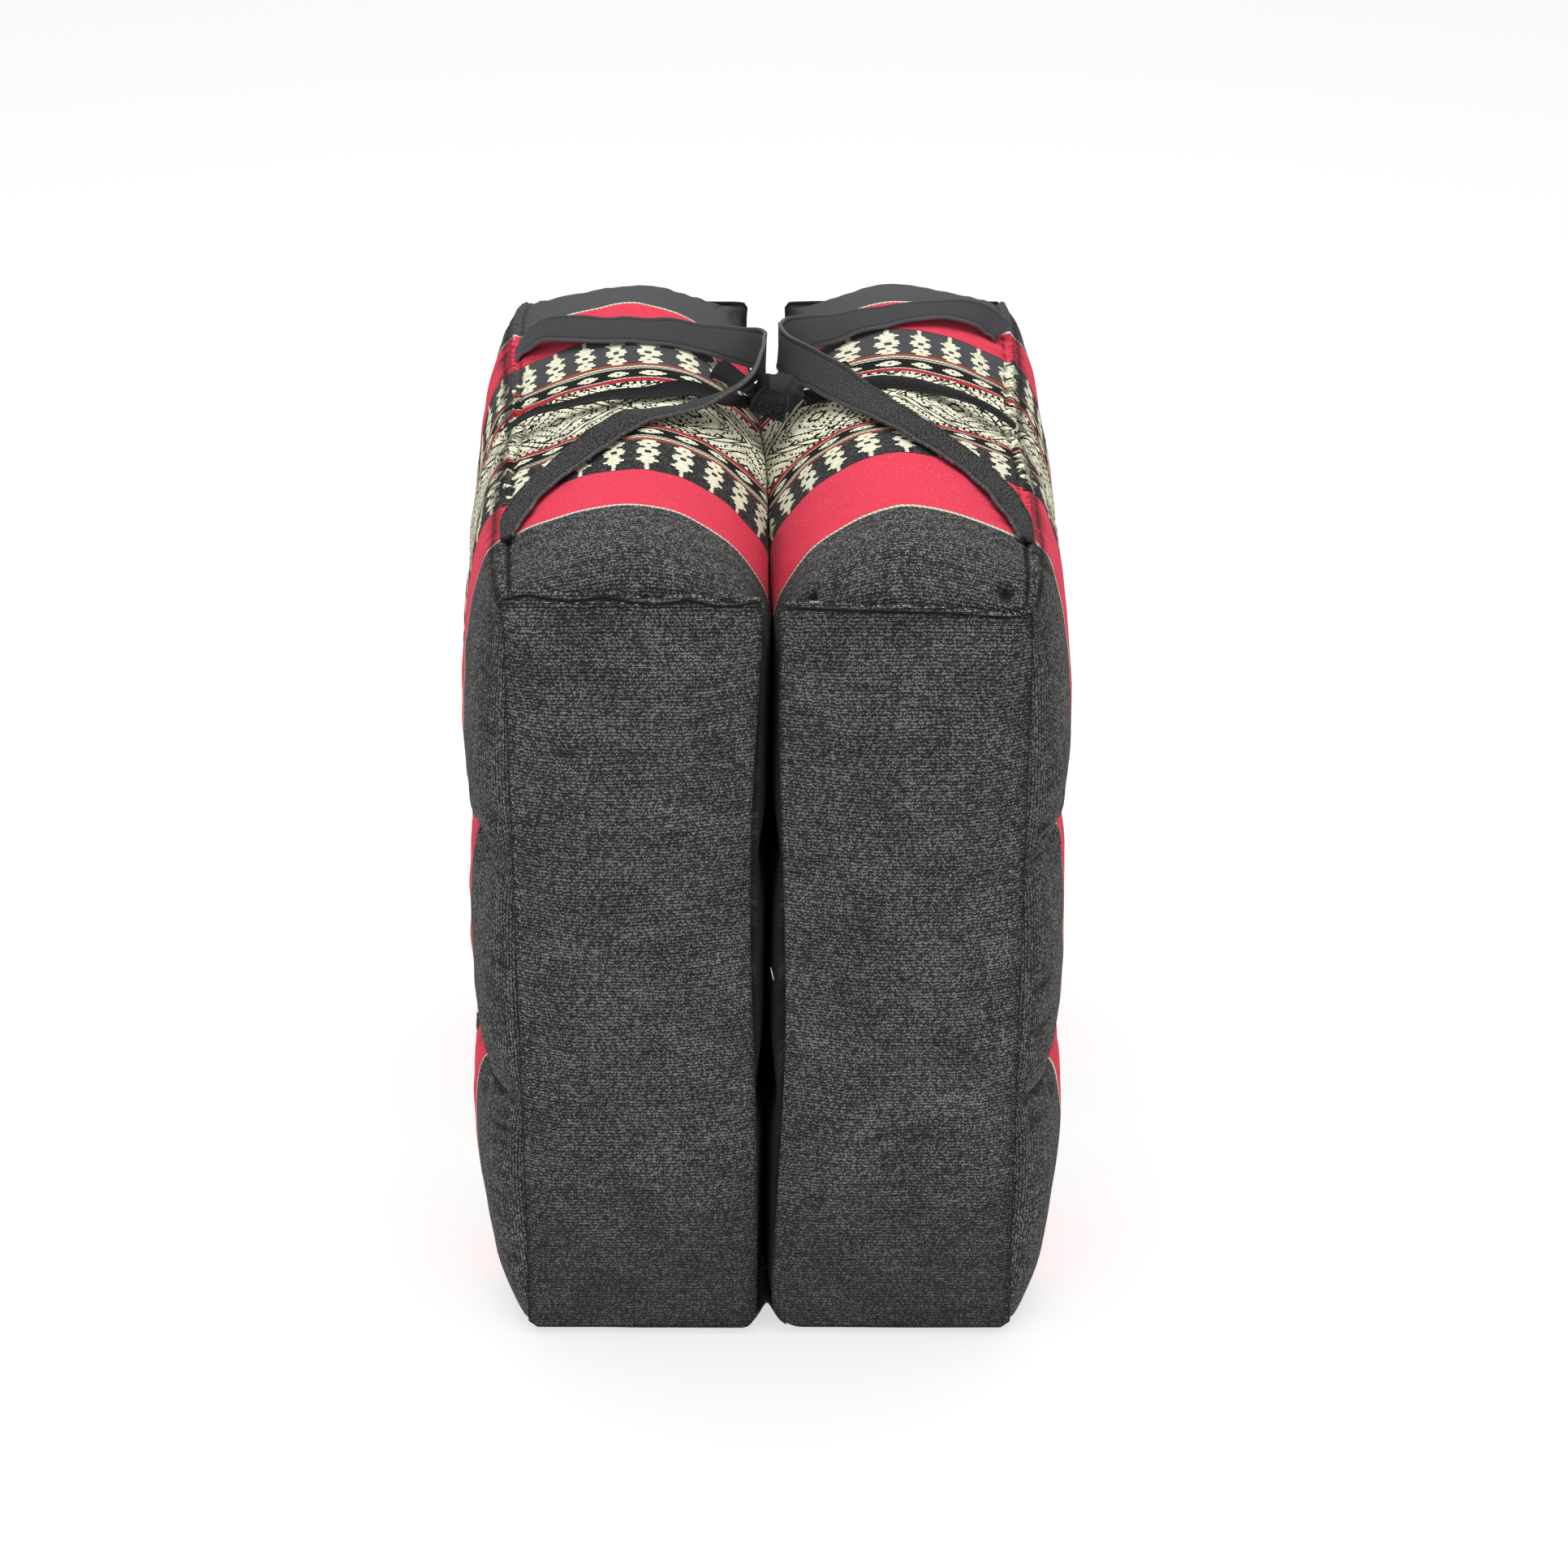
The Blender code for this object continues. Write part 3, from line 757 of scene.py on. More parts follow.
def finish_cloth(g, colour, normal, sheen=0.03):
    g.put(g.shader.inputs["Base Color"], colour)
    g.put(g.shader.inputs["Normal"], normal)
    g.put(g.shader.inputs["Sheen Weight"], sheen)
    for key, value in CLOTH_SURFACE.items():
        g.put(g.shader.inputs[key], value)
    return g.material


def black_cloth(name):
    """The end panels' cloth. v is the height, and the weave is softer to see low down."""
    g = Graph(name)
    u, v = g.uv()
    fleck, height = weave(g, u, v)
    zone = g.noise(g.place(u, v), 0.3, 2.0)
    patch = g.step(zone, 0.3, 0.75)
    crisp = g.step(v, 2.0, 15.0)
    far = far_share(g, 0.0, 0.15)
    amount = (0.45 + crisp * 0.45) * (0.75 + patch * 0.4)
    amount = amount * (1.0 - far * 0.93)
    base = g.mix(crisp, scaled(BLACK, 2.6), BLACK)
    base = g.mix(far, base, scaled(BLACK, FAR_TOP_LIGHTER))
    colour = g.mix(fleck * amount, base, FLECK)
    return finish_cloth(g, with_painted_shade(g, colour), g.bump(height, 0.0006, 0.5))


# The bands, by their distance from the middle of the field in centimetres
FIELD_END = 3.28
STRIP_MIDDLE = 4.27
MOTIF_START = 5.5
MOTIF_END = 9.3
BLACK_START = 14.44
STRIPES_END = 24.0
STRIPES = (
    (0.00, DARK_THREAD_AND_SHADE), (FIELD_END, LINE_RED), (3.58, WHITE), (3.74, DARK_THREAD_AND_SHADE), (4.80, WHITE), (4.95, DARK_THREAD_AND_SHADE),
    (5.06, WHITE), (5.20, DARK_THREAD_AND_SHADE), (5.26, ORANGE), (5.44, DARK_THREAD_AND_SHADE), (MOTIF_END, RED), (14.20, WHITE),
    (BLACK_START, DARK_THREAD_AND_SHADE),
)

# The motifs' distance apart, and half their width as a share of it, by place across the band
PITCH = 1.75
MOTIF_PICKS = 14.0
MOTIF = (
    (0.0, 0.13), (0.035, 0.18), (0.08, 0.28), (0.12, 0.33), (0.17, 0.28), (0.215, 0.13), (0.25, 0.09),
    (0.30, 0.22), (0.34, 0.31), (0.40, 0.345), (0.47, 0.31), (0.53, 0.18), (0.57, 0.10),
    (0.61, 0.22), (0.66, 0.335), (0.71, 0.31), (0.76, 0.14), (0.80, 0.075), (1.0, 0.07),
)
STRIP_DIAMOND = ((0.0, 0.335), (0.20, 0.235), (0.44, 0.12), (0.62, 0.0))

# The field's lozenges and stitches along the rows, and its rows' height
LOZENGE = 7.0
STITCH = 0.62
FIELD_ROW = 0.27


def motif_mask(g, cell, a, jag):
    """The tall motifs, built of thick picks: half their width by place, in steps."""
    f = (a - MOTIF_START) * (1.0 / (MOTIF_END - MOTIF_START))
    picks = f * MOTIF_PICKS
    stepped = (g.m("FLOOR", picks) + 0.5) * (1.0 / MOTIF_PICKS)
    blended = stepped * 0.9 + f * 0.1
    half_width = g.ramp(blended, MOTIF, False)
    round_end = g.m("POWER", g.gap(picks) * 2.0, 3.0) * 0.07
    half_width = half_width + (jag - 0.5) * 0.1 - round_end
    mask = g.less(cell, half_width) * (g.more(f, 0.0) * g.less(f, 1.0))
    eye = g.less(cell, 0.09) * g.near(f, 0.405, 0.05)
    small_eye = g.less(cell, 0.05) * g.near(f, 0.125, 0.018)
    return mask * (1.0 - g.most(eye, small_eye)), g.gap(picks)


def strip_mask(g, cell, a, jag):
    """The small flat diamonds of the narrow strip, of three picks and two short ones."""
    b = g.m("ABSOLUTE", a - STRIP_MIDDLE)
    half_width = g.ramp(b * 2.0, STRIP_DIAMOND)
    half_width = half_width + (jag - 0.5) * 0.08
    hole = g.less(cell * 1.6 + b, 0.1)
    return g.less(cell, half_width) * g.less(b, 0.31) * (1.0 - hole)


def field_dark(g, u, a, jag):
    """The dark lines and gaps of the middle field: long lozenges of short thick stitches."""
    p = g.gap(u * (1.0 / LOZENGE)) * 2.0
    q = a * (1.0 / FIELD_END)
    away = g.m("ABSOLUTE", p + q - 1.0)
    r = a * (1.0 / FIELD_ROW)
    row = g.m("FLOOR", r)
    drift = g.noise(g.place(u * 0.7, row * 5.7), 1.0, 1.0)
    steps = p * (LOZENGE / 2 / STITCH) + (row * 0.31 + drift * 0.8)
    between_stitches = g.step(g.gap(steps), 0.34, 0.44) * g.step(jag, 0.28, 0.48)
    thick = g.step(drift, 0.37, 0.53)
    between_rows = g.step(g.gap(r), 0.3, 0.42) * (0.1 + thick)
    stitch_gaps = g.most(between_stitches, between_rows)
    big = g.less(g.chance(g.m("FLOOR", steps), row), 0.06) * g.less(g.gap(steps), 0.36)
    borders = g.near(away, 0.085, 0.024)
    cord = g.less(away, 0.058)
    seconds = g.near(away, 0.40, 0.022)
    second_cord = g.near(away, 0.455, 0.034)
    eye = g.near(away, 0.86, 0.035)
    beads = g.near(q, 0.93, 0.045) * g.less(g.fract(u * 2.7), 0.42)
    twist = g.less(g.fract(u * 2.2 + a * 1.5), 0.24)
    calm = g.most(cord, second_cord)
    dark = g.most(stitch_gaps, big) * (1.0 - calm)
    dark = g.most(dark, borders, seconds, eye, beads, calm * (twist * 0.8))
    return g.step(dark + (jag - 0.5) * 0.6, 0.5, 0.75)


def add_threads(g, colour, u, a, jag, raised, pick, lines):
    """Painted shade in lines between the picks of thick thread, and a twist in the white lines."""
    between = g.step(pick, 0.3, 0.5) * g.step(jag, 0.3, 0.55)
    colour = g.mix(between * 0.85, colour, PICK_SHADE)
    tone = g.noise(g.place(u * 3.0, a * 6.0), 1.0, 2.0)
    colour = g.mix(raised * g.step(tone, 0.55, 0.35) * 0.12, colour, CREAM_SHADE)
    twist = lines * g.less(g.fract(u * 3.6 + a * 2.5), 0.3)
    return g.mix(twist * 0.6, colour, TWIST_SHADE)


def add_flecks(g, colour, fleck, u, v, a, raised):
    """Light flecks on the black, fewer on top at the far end, and faint ones on the red."""
    clear = 1.0 - far_share(g, -0.12, 0.16)
    is_black = g.most(g.more(a, BLACK_START), g.near(a, 7.4, 1.9) * (1.0 - raised))
    is_red = g.near(a, 11.75, 2.45)
    colour = g.mix(is_black, colour, g.mix(clear, scaled(BLACK, FAR_TOP_LIGHTER), BLACK))
    shows = fleck * is_black * (0.03 + clear * 0.8)
    shows = shows * (1.0 - g.less(a, 10.0) * 0.55)
    colour = g.mix(shows, colour, FLECK)
    speck = g.chance(g.m("FLOOR", u * 16.0), g.m("FLOOR", v * 16.0)) * is_red
    colour = g.mix(g.step(speck, 0.9, 1.0) * 0.22, colour, RED_SPECK)
    return g.mix(is_red * (1.0 - fleck) * 0.1, colour, LINE_RED)


def woven_cloth(name):
    """The banded cloth. v is the place along the length from the field's middle, u the way round."""
    g = Graph(name)
    u, v = g.uv()
    wobble = (g.noise(g.place(u * 0.6, v * 0.6), 1.0, 2.0) - 0.5) * 0.14
    a = g.m("ABSOLUTE", v) + wobble
    jag = g.noise(g.place(u * 4.0, a * 8.0), 1.0, 1.0)
    cell = g.m("ABSOLUTE", g.fract(u * (1.0 / PITCH) + 0.5) - 0.5)
    tall, tall_gap = motif_mask(g, cell, a, jag)
    figures = g.most(tall, strip_mask(g, cell, a, jag))
    field = g.less(a, FIELD_END) * (1.0 - field_dark(g, u, a, jag))
    raised = g.most(figures, field)
    strip_gap = g.gap((a - (STRIP_MIDDLE - 0.11)) * 4.6)
    pick = tall * tall_gap + (figures - tall) * strip_gap
    lines = g.most(g.near(a, 5.0, 0.21), g.near(a, 14.32, 0.12), g.near(a, 3.66, 0.08))
    fleck, height = weave(g, u, v)

    stripes = [(at / STRIPES_END, colour) for at, colour in STRIPES]
    colour = g.mix(raised, g.ramp(a * (1.0 / STRIPES_END), stripes), CREAM)
    colour = add_threads(g, colour, u, a, jag, raised, pick, lines)
    colour = add_flecks(g, colour, fleck, u, v, a, raised)
    thick = raised * 1.5 - pick * raised * 1.4
    normal = g.bump(thick + lines, 0.0007, 0.7, g.bump(height, 0.0005, 0.4))
    return finish_cloth(g, with_painted_shade(g, colour), normal)


def tape_cloth(name, light, width):
    """Black tape of fine twill, folded in at its edges, with painted shade along each fold and a painted
    highlight on each rim, and plainer to see at the far end.

    u runs across it and v along it.
    """
    g = Graph(name)
    u, v = g.uv()
    far = far_share(g, -0.06, 0.05)
    line = g.fract((u * 0.9 + v) * 6.0)
    speck = g.noise(g.place(u * 13.0, v * 13.0), 1.0, 2.0, 0.7)
    wear = g.noise(g.place(u * 1.2, v * 0.4), 1.0, 3.0)
    fleck = g.step(speck + g.less(line, 0.5) * 0.05, 0.53, 0.76)
    reach = g.m("ABSOLUTE", u)
    fold = g.near(reach, width * 0.385, 0.035)
    rim = g.more(reach, width * 0.475)
    base = g.mix(wear, scaled(BLACK, 0.8 * light), scaled(BLACK, 1.6 * light))
    base = g.mix(far, base, scaled(BLACK, FAR_TOP_LIGHTER_TAPE * light))
    colour = g.mix(fleck * (0.75 - far * 0.7), base, scaled(FLECK, light))
    # Painted shade along the hem's fold, and a painted highlight on the folded rim
    colour = g.mix(fold * 0.6, colour, DARK_THREAD_AND_SHADE)
    colour = g.mix(rim * 0.15, colour, scaled(FLECK, light))
    normal = g.bump(g.less(line, 0.5) + speck, 0.0004, 0.4)
    return finish_cloth(g, colour, normal, 0.05)


def plain(name, colour, roughness=0.8, glow=0.0):
    """One even colour, with white light of its own where glow says."""
    g = Graph(name)
    g.put(g.shader.inputs["Base Color"], (*colour, 1.0))
    g.put(g.shader.inputs["Roughness"], roughness)
    if glow > 0.0:
        g.put(g.shader.inputs["Emission Color"], (1.0, 1.0, 1.0, 1.0))
        g.put(g.shader.inputs["Emission Strength"], glow)
    return g.material


# The halves

woven = woven_cloth("woven")
black = black_cloth("black")
tape_black = tape_cloth("tape", 1.0, TAPE_WIDTH)
ribbon_black = tape_cloth("ribbon", 0.35, TIE_WIDTH)
thread_pale = plain("pale_thread", (0.62, 0.55, 0.45))

half_left, grid_left = make_half("half_left", -1)
half_right, grid_right = make_half("half_right", 1)
for obj, node in ((half_left, "cushion_left"), (half_right, "cushion_right")):
    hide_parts(node)
    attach(obj, "root")
TOPS = {-1: crown_table(grid_left), 1: crown_table(grid_right)}


# The end panels


# How far the top lip stands over its usual height, by the place along it
LIP_PLACES = (0.6, 2.5, 4.2, 6.0, 8.3, 10.1, 12.2, 13.3)
LIP_WAVES = {
    -1: (-0.0625, -0.4, 0.1, -0.25, 0.3, 0.0, 0.475, 0.15),
    1: (0.275, 0.15, 0.05, 0.0, -0.1, -0.225, -0.525, -0.125),
}
LIP_FAR_WAVE = -0.2
LIP_SHARES = (1.0, 0.9, 0.8, 0.7, 0.62, 0.54, 0.46, 0.38, 0.30, 0.2, 0.1, 0.0)
ROLL_TOP = 0.24
ROLL_FAR = 0.05
ROLL_OUTER = 0.04
ROLL_INNER = 0.07
CREASE_RISE = 0.24
PARTED = 0.58

# How far in from the seam the panel's first rings lie, below the top lip and beside the others
TOP_DROPS = np.array([0.05, 0.10, 0.15, 0.22, 0.30, 0.42, 0.60])
SIDE_DROPS = np.array([0.34, 0.46, 0.6, 0.8, 1.0, 1.3, 1.7, 2.2])
PANEL_HALF_HEIGHT = 21.5
PANEL_HALF_WIDTH = 6.9


def panel_edge(side, sign):
    """A panel's seam. In front it stands off the other half's at middle height."""
    ring = section(side, float(sign))
    if sign < 0:
        parted = PARTED * hump(ring[:, 2], 24.0 - 4.0 * side, 13.0)
        nearness = np.clip(1.0 - np.abs(ring[:, 0] - CENTRE_SHIFT) / 2.0, 0.0, 1.0)
        ring[:, 0] += side * parted * nearness
    return ring


def out_of_ring(ring):
    """Directions out of a ring, square to it."""
    run = np.roll(ring, -1, axis=0) - np.roll(ring, 1, axis=0)
    out = np.stack([run[:, 2], 0.0 * run[:, 0], -run[:, 0]], axis=1)
    out /= np.linalg.norm(out, axis=1)[:, None]
    return out * np.sign(((ring - ring.mean(axis=0)) * out).sum())


def lip_shape(side, sign):
    """Round the edge: where the top is, the lip's reach, its roll and its crease's height."""
    x, z = ENDS[side][:, 0], ENDS[side][:, 1]
    top = z > SEAM_TOP - 0.05
    outer = x > 6.0
    wave = np.interp(x, LIP_PLACES, LIP_WAVES[side]) if sign < 0 else LIP_FAR_WAVE + 0.0 * x
    pressed = 0.8 * hump(z, 23.0 - 4.0 * side, 13.0)
    inner_reach = LIP_SIDE * (1.0 - pressed + 0.1 * np.sin(0.55 * z + side))
    reach = np.where(outer, LIP_OUTER, inner_reach)
    reach = np.where(z < SEAM_BOTTOM + 1.0, LIP_BOTTOM, reach)
    reach = np.where(top, LIP_TOP + wave, reach)
    roll = np.where(outer, ROLL_OUTER, ROLL_INNER)
    roll = np.where(top, ROLL_TOP if sign < 0 else ROLL_FAR, roll)
    return top, averaged(reach, 8), averaged(roll, 12), CREASE_RISE + 0.8 * wave


def rolled(height, roll, crease):
    """How far the cloth comes out at a height over the seam, by the roll above the crease."""
    return 0.06 + roll * 1.2 * (0.5 + 0.5 * np.tanh((height - crease) / 0.05))


def painted_crease_shade(height, roll, crease):
    """Painted shade in the crease under the roll, at a height over the seam."""
    return 1.4 * hump(height, crease - 0.09, 0.18) * np.minimum(roll / ROLL_TOP, 1.0)


def panel_rings(side, sign):
    """Rings from the lip's rim in to the panel's middle, and their painted shade: in the crease under
    the lip, and on the lip's rim where it hardly rolls.
    """
    ring = panel_edge(side, sign)
    out = out_of_ring(ring)
    top, reach, roll, crease = lip_shape(side, sign)
    around = np.cumsum(np.linalg.norm(ring - np.roll(ring, 1, axis=0), axis=1))
    curl = averaged(0.04 * ripples(around, 0.0 * around, 2.6, 71 + side, 6) * top, 12)
    rings = []
    painted_shades = []
    for share in LIP_SHARES:
        lip = ring + out * (reach * share)[:, None]
        droop = 0.3 * roll * smooth((share - 0.7) / 0.3)
        comes_out = rolled(reach * share, roll, crease) - droop + np.maximum(curl, -0.1) * share
        lip[:, 1] += sign * comes_out
        rings.append(lip)
        # Painted shade on the outer half of the lip, the more the less it rolls.
        edge = 0.9 * (share > 0.5) * (1.0 - np.minimum(roll / ROLL_TOP, 1.0))
        painted_shades.append(np.maximum(painted_crease_shade(reach * share, roll, crease), edge))
    first = [1.0 - TOP_DROPS / PANEL_HALF_HEIGHT, 1.0 - SIDE_DROPS / PANEL_HALF_WIDTH]
    shares = np.concatenate(first + [np.linspace(0.64, 0.05, 26)])
    for share, p in zip(shares, end_rings(ring, sign, shares)):
        depth = (1.0 - share) * np.where(top, PANEL_HALF_HEIGHT, PANEL_HALF_WIDTH)
        lumps = 0.06 * ripples(p[:, 0], p[:, 2], 7.0, 81 + side) * smooth(depth / 2.0)
        gather = 0.03 * ripples(around, 0.0 * around, 1.1, 91 + side, 8) * hump(depth, 0.5, 0.5)
        rise = 0.05 * smooth((depth - 0.1) / 0.35)
        p[:, 1] += sign * (rolled(-depth, roll, crease) + rise + lumps + gather * (0.4 + 3.0 * roll))
        rings.append(p)
        painted_shades.append(painted_crease_shade(-depth, roll, crease))
    return rings, painted_shades


def make_panel(name, side, sign):
    """An end panel of real thickness: its back's rings, its front's, and the rim between them."""
    rings, painted_shades = panel_rings(side, sign)
    layers = []
    for thickness in (0.0, CLOTH):
        for ring in rings:
            layer = ring.copy()
            layer[:, 1] += sign * (GAP + thickness)
            layers.append(layer)
    per = len(rings) * N_ALL
    faces = ring_faces(len(rings), N_ALL) + ring_faces(len(rings), N_ALL, per)
    for i in range(N_ALL):
        j = (i + 1) % N_ALL
        faces.append((i, j, per + j, per + i))
    faces.append(tuple(range(per - N_ALL, per)))
    faces.append(tuple(range(2 * per - N_ALL, 2 * per)))
    points = np.vstack(layers)
    return build_mesh(name, points, faces, points[:, [0, 2]], black, np.concatenate(painted_shades * 2))


for name, side, sign in (
    ("panel_near_left", -1, -1),
    ("panel_near_right", 1, -1),
    ("panel_far_left", -1, 1),
    ("panel_far_right", 1, 1),
):
    obj = make_panel("cloth_" + name, side, sign)
    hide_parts(name)
    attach(obj, "root")


# Threads that show


def front_y(panel, x, z):
    """The near face of a panel at a place on it."""
    points = np.empty(len(panel.data.vertices) * 3)
    panel.data.vertices.foreach_get("co", points)
    points = points.reshape(-1, 3) / CM
    away = (points[:, 0] - x) ** 2 + (points[:, 2] - z) ** 2
    return points[away < away.min() + 0.03][:, 1].min()


def make_threads(name, threads, material):
    """Short threads from end to end, each a slim six-sided spindle."""
    points = []
    faces = []
    for start, end, thick in threads:
        a = np.array(start)
        b = np.array(end)
        run = (b - a) / np.linalg.norm(b - a)
        side = np.cross(run, (0.3, 1.0, 0.2))
        side /= np.linalg.norm(side)
        up = np.cross(run, side)
        base = len(points)
        for share, size in ((0.0, 0.35), (0.2, 1.0), (0.8, 1.0), (1.0, 0.35)):
            for k in range(6):
                turn = math.tau * k / 6
                off = side * math.cos(turn) + up * math.sin(turn)
                points.append(a + (b - a) * share + off * thick * size / 2)
        faces += tube_faces(4, 6, base)
    points = np.array(points)
    return build_mesh(name, points, faces, points[:, [0, 2]], material)


def panel_stitches(panel, places):
    """Stitches on a panel's near face, by x, z, half length along x and along z."""
    threads = []
    for x, z, half_x, half_z in places:
        y = front_y(panel, x, z) - 0.02
        threads.append(((x - half_x, y, z - half_z), (x + half_x, y, z + half_z), 0.055))
    return threads


def stitch_row(start, end, count, half_x, half_z):
    """Places for a row of stitches, wandering a little off its line."""
    rows = []
    for i in range(count):
        q = i / (count - 1)
        wander = 0.03 * math.sin(5.1 * i)
        rows.append((
            start[0] + (end[0] - start[0]) * q + wander,
            start[1] + (end[1] - start[1]) * q + 0.5 * wander,
            half_x,
            half_z,
        ))
    return rows


LEFT_STITCHES = stitch_row((-10.7, SEAM_TOP + 0.10), (-6.2, SEAM_TOP + 0.06), 7, 0.09, 0.01)
LEFT_STITCHES += stitch_row((-12.75, 34.2), (-12.35, 15.7), 25, 0.015, 0.04)
LEFT_STITCHES += stitch_row((-0.55, 34.3), (-0.78, 31.3), 5, 0.02, 0.04)
RIGHT_STITCHES = stitch_row((13.0, 33.5), (12.7, 17.0), 22, 0.015, 0.04)
RIGHT_STITCHES += stitch_row((9.2, SEAM_TOP - 0.05), (5.1, SEAM_TOP + 0.02), 6, 0.05, 0.01)

for name, panel, places in (
    ("stitches_left", "cloth_panel_near_left", LEFT_STITCHES),
    ("stitches_right", "cloth_panel_near_right", RIGHT_STITCHES),
):
    obj = make_threads(name, panel_stitches(bpy.data.objects[panel], places), thread_pale)
    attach(obj, "root")

# Cut thread ends where the tapes are sewn in, and one in the gap between the halves
TUFT_REACH = 13.3
TUFT_Y = -14.9
TUFT_Z = 44.35
tufts = []
for side in (-1, 1):
    x = side * TUFT_REACH + CENTRE_SHIFT
    for k, (dx, dz) in enumerate(((0.22, 0.30), (-0.26, 0.22), (0.05, -0.34), (0.30, -0.10))):
        end_y = TUFT_Y - 0.3 - 0.05 * k
        tufts.append(((x, TUFT_Y, TUFT_Z), (x + dx, end_y, TUFT_Z + dz), 0.06))
tufts.append(((0.5, -19.8, 22.6), (0.66, -19.95, 21.9), 0.05))
obj = make_threads("thread_ends", tufts, plain("white_thread", (0.8, 0.78, 0.7)))
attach(obj, "root")


# Tapes and ribbons


def spline(rows, steps):
    """A smooth path through the rows, with a number of steps between each two."""
    rows = np.array(rows, dtype=float)
    out = []
    for i in range(len(rows) - 1):
        p0 = rows[max(i - 1, 0)]
        p1 = rows[i]
        p2 = rows[i + 1]
        p3 = rows[min(i + 2, len(rows) - 1)]
        for k in range(steps):
            u = k / steps
            out.append(
                0.5 * (2 * p1 + (p2 - p0) * u + (2 * p0 - 5 * p1 + 4 * p2 - p3) * u ** 2
                       + (3 * p1 - p0 - 3 * p2 + p3) * u ** 3)
            )
    out.append(rows[-1])
    return np.array(out)


# What each kind of strip is like: its clearance over the cloth, how far it cups across its width,
# and how thick it is across, where a folded hem is thicker
Strip = collections.namedtuple("Strip", "material width thick steps clear cup across")
CROSS_PLACES = np.array([-1.0, -0.97, -0.86, -0.8, -0.72, -0.4, 0.0, 0.4, 0.72, 0.8, 0.86, 0.97, 1.0])
HEMMED = np.array([0.55, 0.95, 1.05, 0.7, 0.9, 0.95, 0.95, 0.95, 0.9, 0.7, 1.05, 0.95, 0.55])
WOVEN_EDGE = np.array([0.6] + [1.0] * 11 + [0.6])
TAPE = Strip(tape_black, TAPE_WIDTH, 0.22, 14, 0.04, 0.0, HEMMED)
RIBBON = Strip(ribbon_black, TIE_WIDTH, 0.12, 12, 0.02, 0.12, WOVEN_EDGE)


def raised_clear(rings, side, kind):
    """Lift the rings off the half's top where they would sink in, evenly over a few steps."""
    lifts = []
    for ring in rings:
        lifts.append(max(crown_height(TOPS[side], p[0], p[1]) + kind.clear - p[2] for p in ring[::3]))
    lifts = np.maximum(lifts, 0.0)
    reach = max(2, kind.steps // 3)
    wide = [max(lifts[max(i - reach, 0):i + reach + 1]) for i in range(len(lifts))]
    raised = []
    for i, ring in enumerate(rings):
        lift = float(np.mean(wide[max(i - reach, 0):i + reach + 1]))
        raised.append(ring + np.array([0.0, 0.0, lift]))
    return raised


def make_strip(name, side, rows, kind, seed):
    """A tape along rows of x, y, z, its width's direction and its width's share."""
    path = spline(rows, kind.steps)
    centre = path[:, :3] + np.array([CENTRE_SHIFT, 0.0, 0.0])
    across = path[:, 3:6]
    along = np.gradient(centre, axis=0)
    along /= np.linalg.norm(along, axis=1)[:, None]
    across = across - along * (across * along).sum(axis=1)[:, None]
    across /= np.linalg.norm(across, axis=1)[:, None]
    face = np.cross(along, across)
    run = np.concatenate([[0.0], np.cumsum(np.linalg.norm(np.diff(centre, axis=0), axis=1))])
    wander = 0.035 * ripples(run, 0.0 * run, 3.0, seed, 5)
    loop_u = np.concatenate([CROSS_PLACES, CROSS_PLACES[::-1]])
    loop_f = np.concatenate([kind.across, -kind.across[::-1]]) * kind.thick / 2
    rings = []
    for i in range(len(centre)):
        width = kind.width * path[i, 6]
        edge = 1.0 + 0.03 * math.sin(2.3 * run[i] + seed)
        off = loop_f + kind.cup * width * (loop_u ** 2 - 0.4) + wander[i]
        rings.append(centre[i] + np.outer(loop_u * edge * width / 2, across[i]) + np.outer(off, face[i]))
    rings = raised_clear(rings, side, kind)
    faces = tube_faces(len(rings), len(loop_u))
    uv = np.array([(u * kind.width / 2, distance) for distance in run for u in loop_u])
    return build_mesh(name, np.vstack(rings), faces, uv, kind.material), float(run[-1])


HANDLE_LEFT = [
    (-14.2, 10.6, 44.95, 0.2, 0.93, 0.3, 0.95),
    (-13.5, 10.6, 45.9, 0.15, 0.95, 0.3, 1.0),
    (-12.1, 10.0, 46.8, 0.1, 0.96, 0.25, 1.0),
    (-8.7, 8.4, 47.25, 0.0, 0.96, 0.27, 1.0),
    (-5.0, 8.4, 47.0, 0.0, 0.93, 0.37, 1.0),
    (-2.6, 8.1, 46.75, 0.0, 0.87, 0.5, 1.0),
    (-1.1, 7.2, 46.8, 0.1, 0.5, 0.87, 1.0),
    (-0.35, 5.8, 47.2, 0.1, 0.1, 1.0, 1.0),
    (-0.3, 4.4, 47.35, 0.0, -0.1, 1.0, 1.0),
    (-0.6, 2.9, 47.45, 0.15, -0.4, 0.95, 1.0),
    (-1.5, 1.0, 47.2, 0.3, -0.85, 0.6, 1.0),
    (-3.0, -0.6, 47.0, 0.45, -0.8, 0.4, 1.0),
    (-4.6, -2.0, 46.9, 0.6, -0.75, 0.25, 1.0),
    (-7.0, -3.6, 47.1, 0.75, -0.6, 0.08, 1.0),
    (-8.6, -5.5, 46.95, 0.78, -0.58, 0.1, 1.0),
    (-10.6, -8.2, 46.4, 0.77, -0.53, 0.25, 1.0),
    (-12.3, -10.5, 45.75, 0.76, -0.5, 0.35, 0.95),
    (-13.05, -12.6, 45.35, 0.8, -0.42, 0.4, 0.8),
    (-13.42, -14.9, 44.9, 0.84, -0.3, 0.42, 0.32),
]
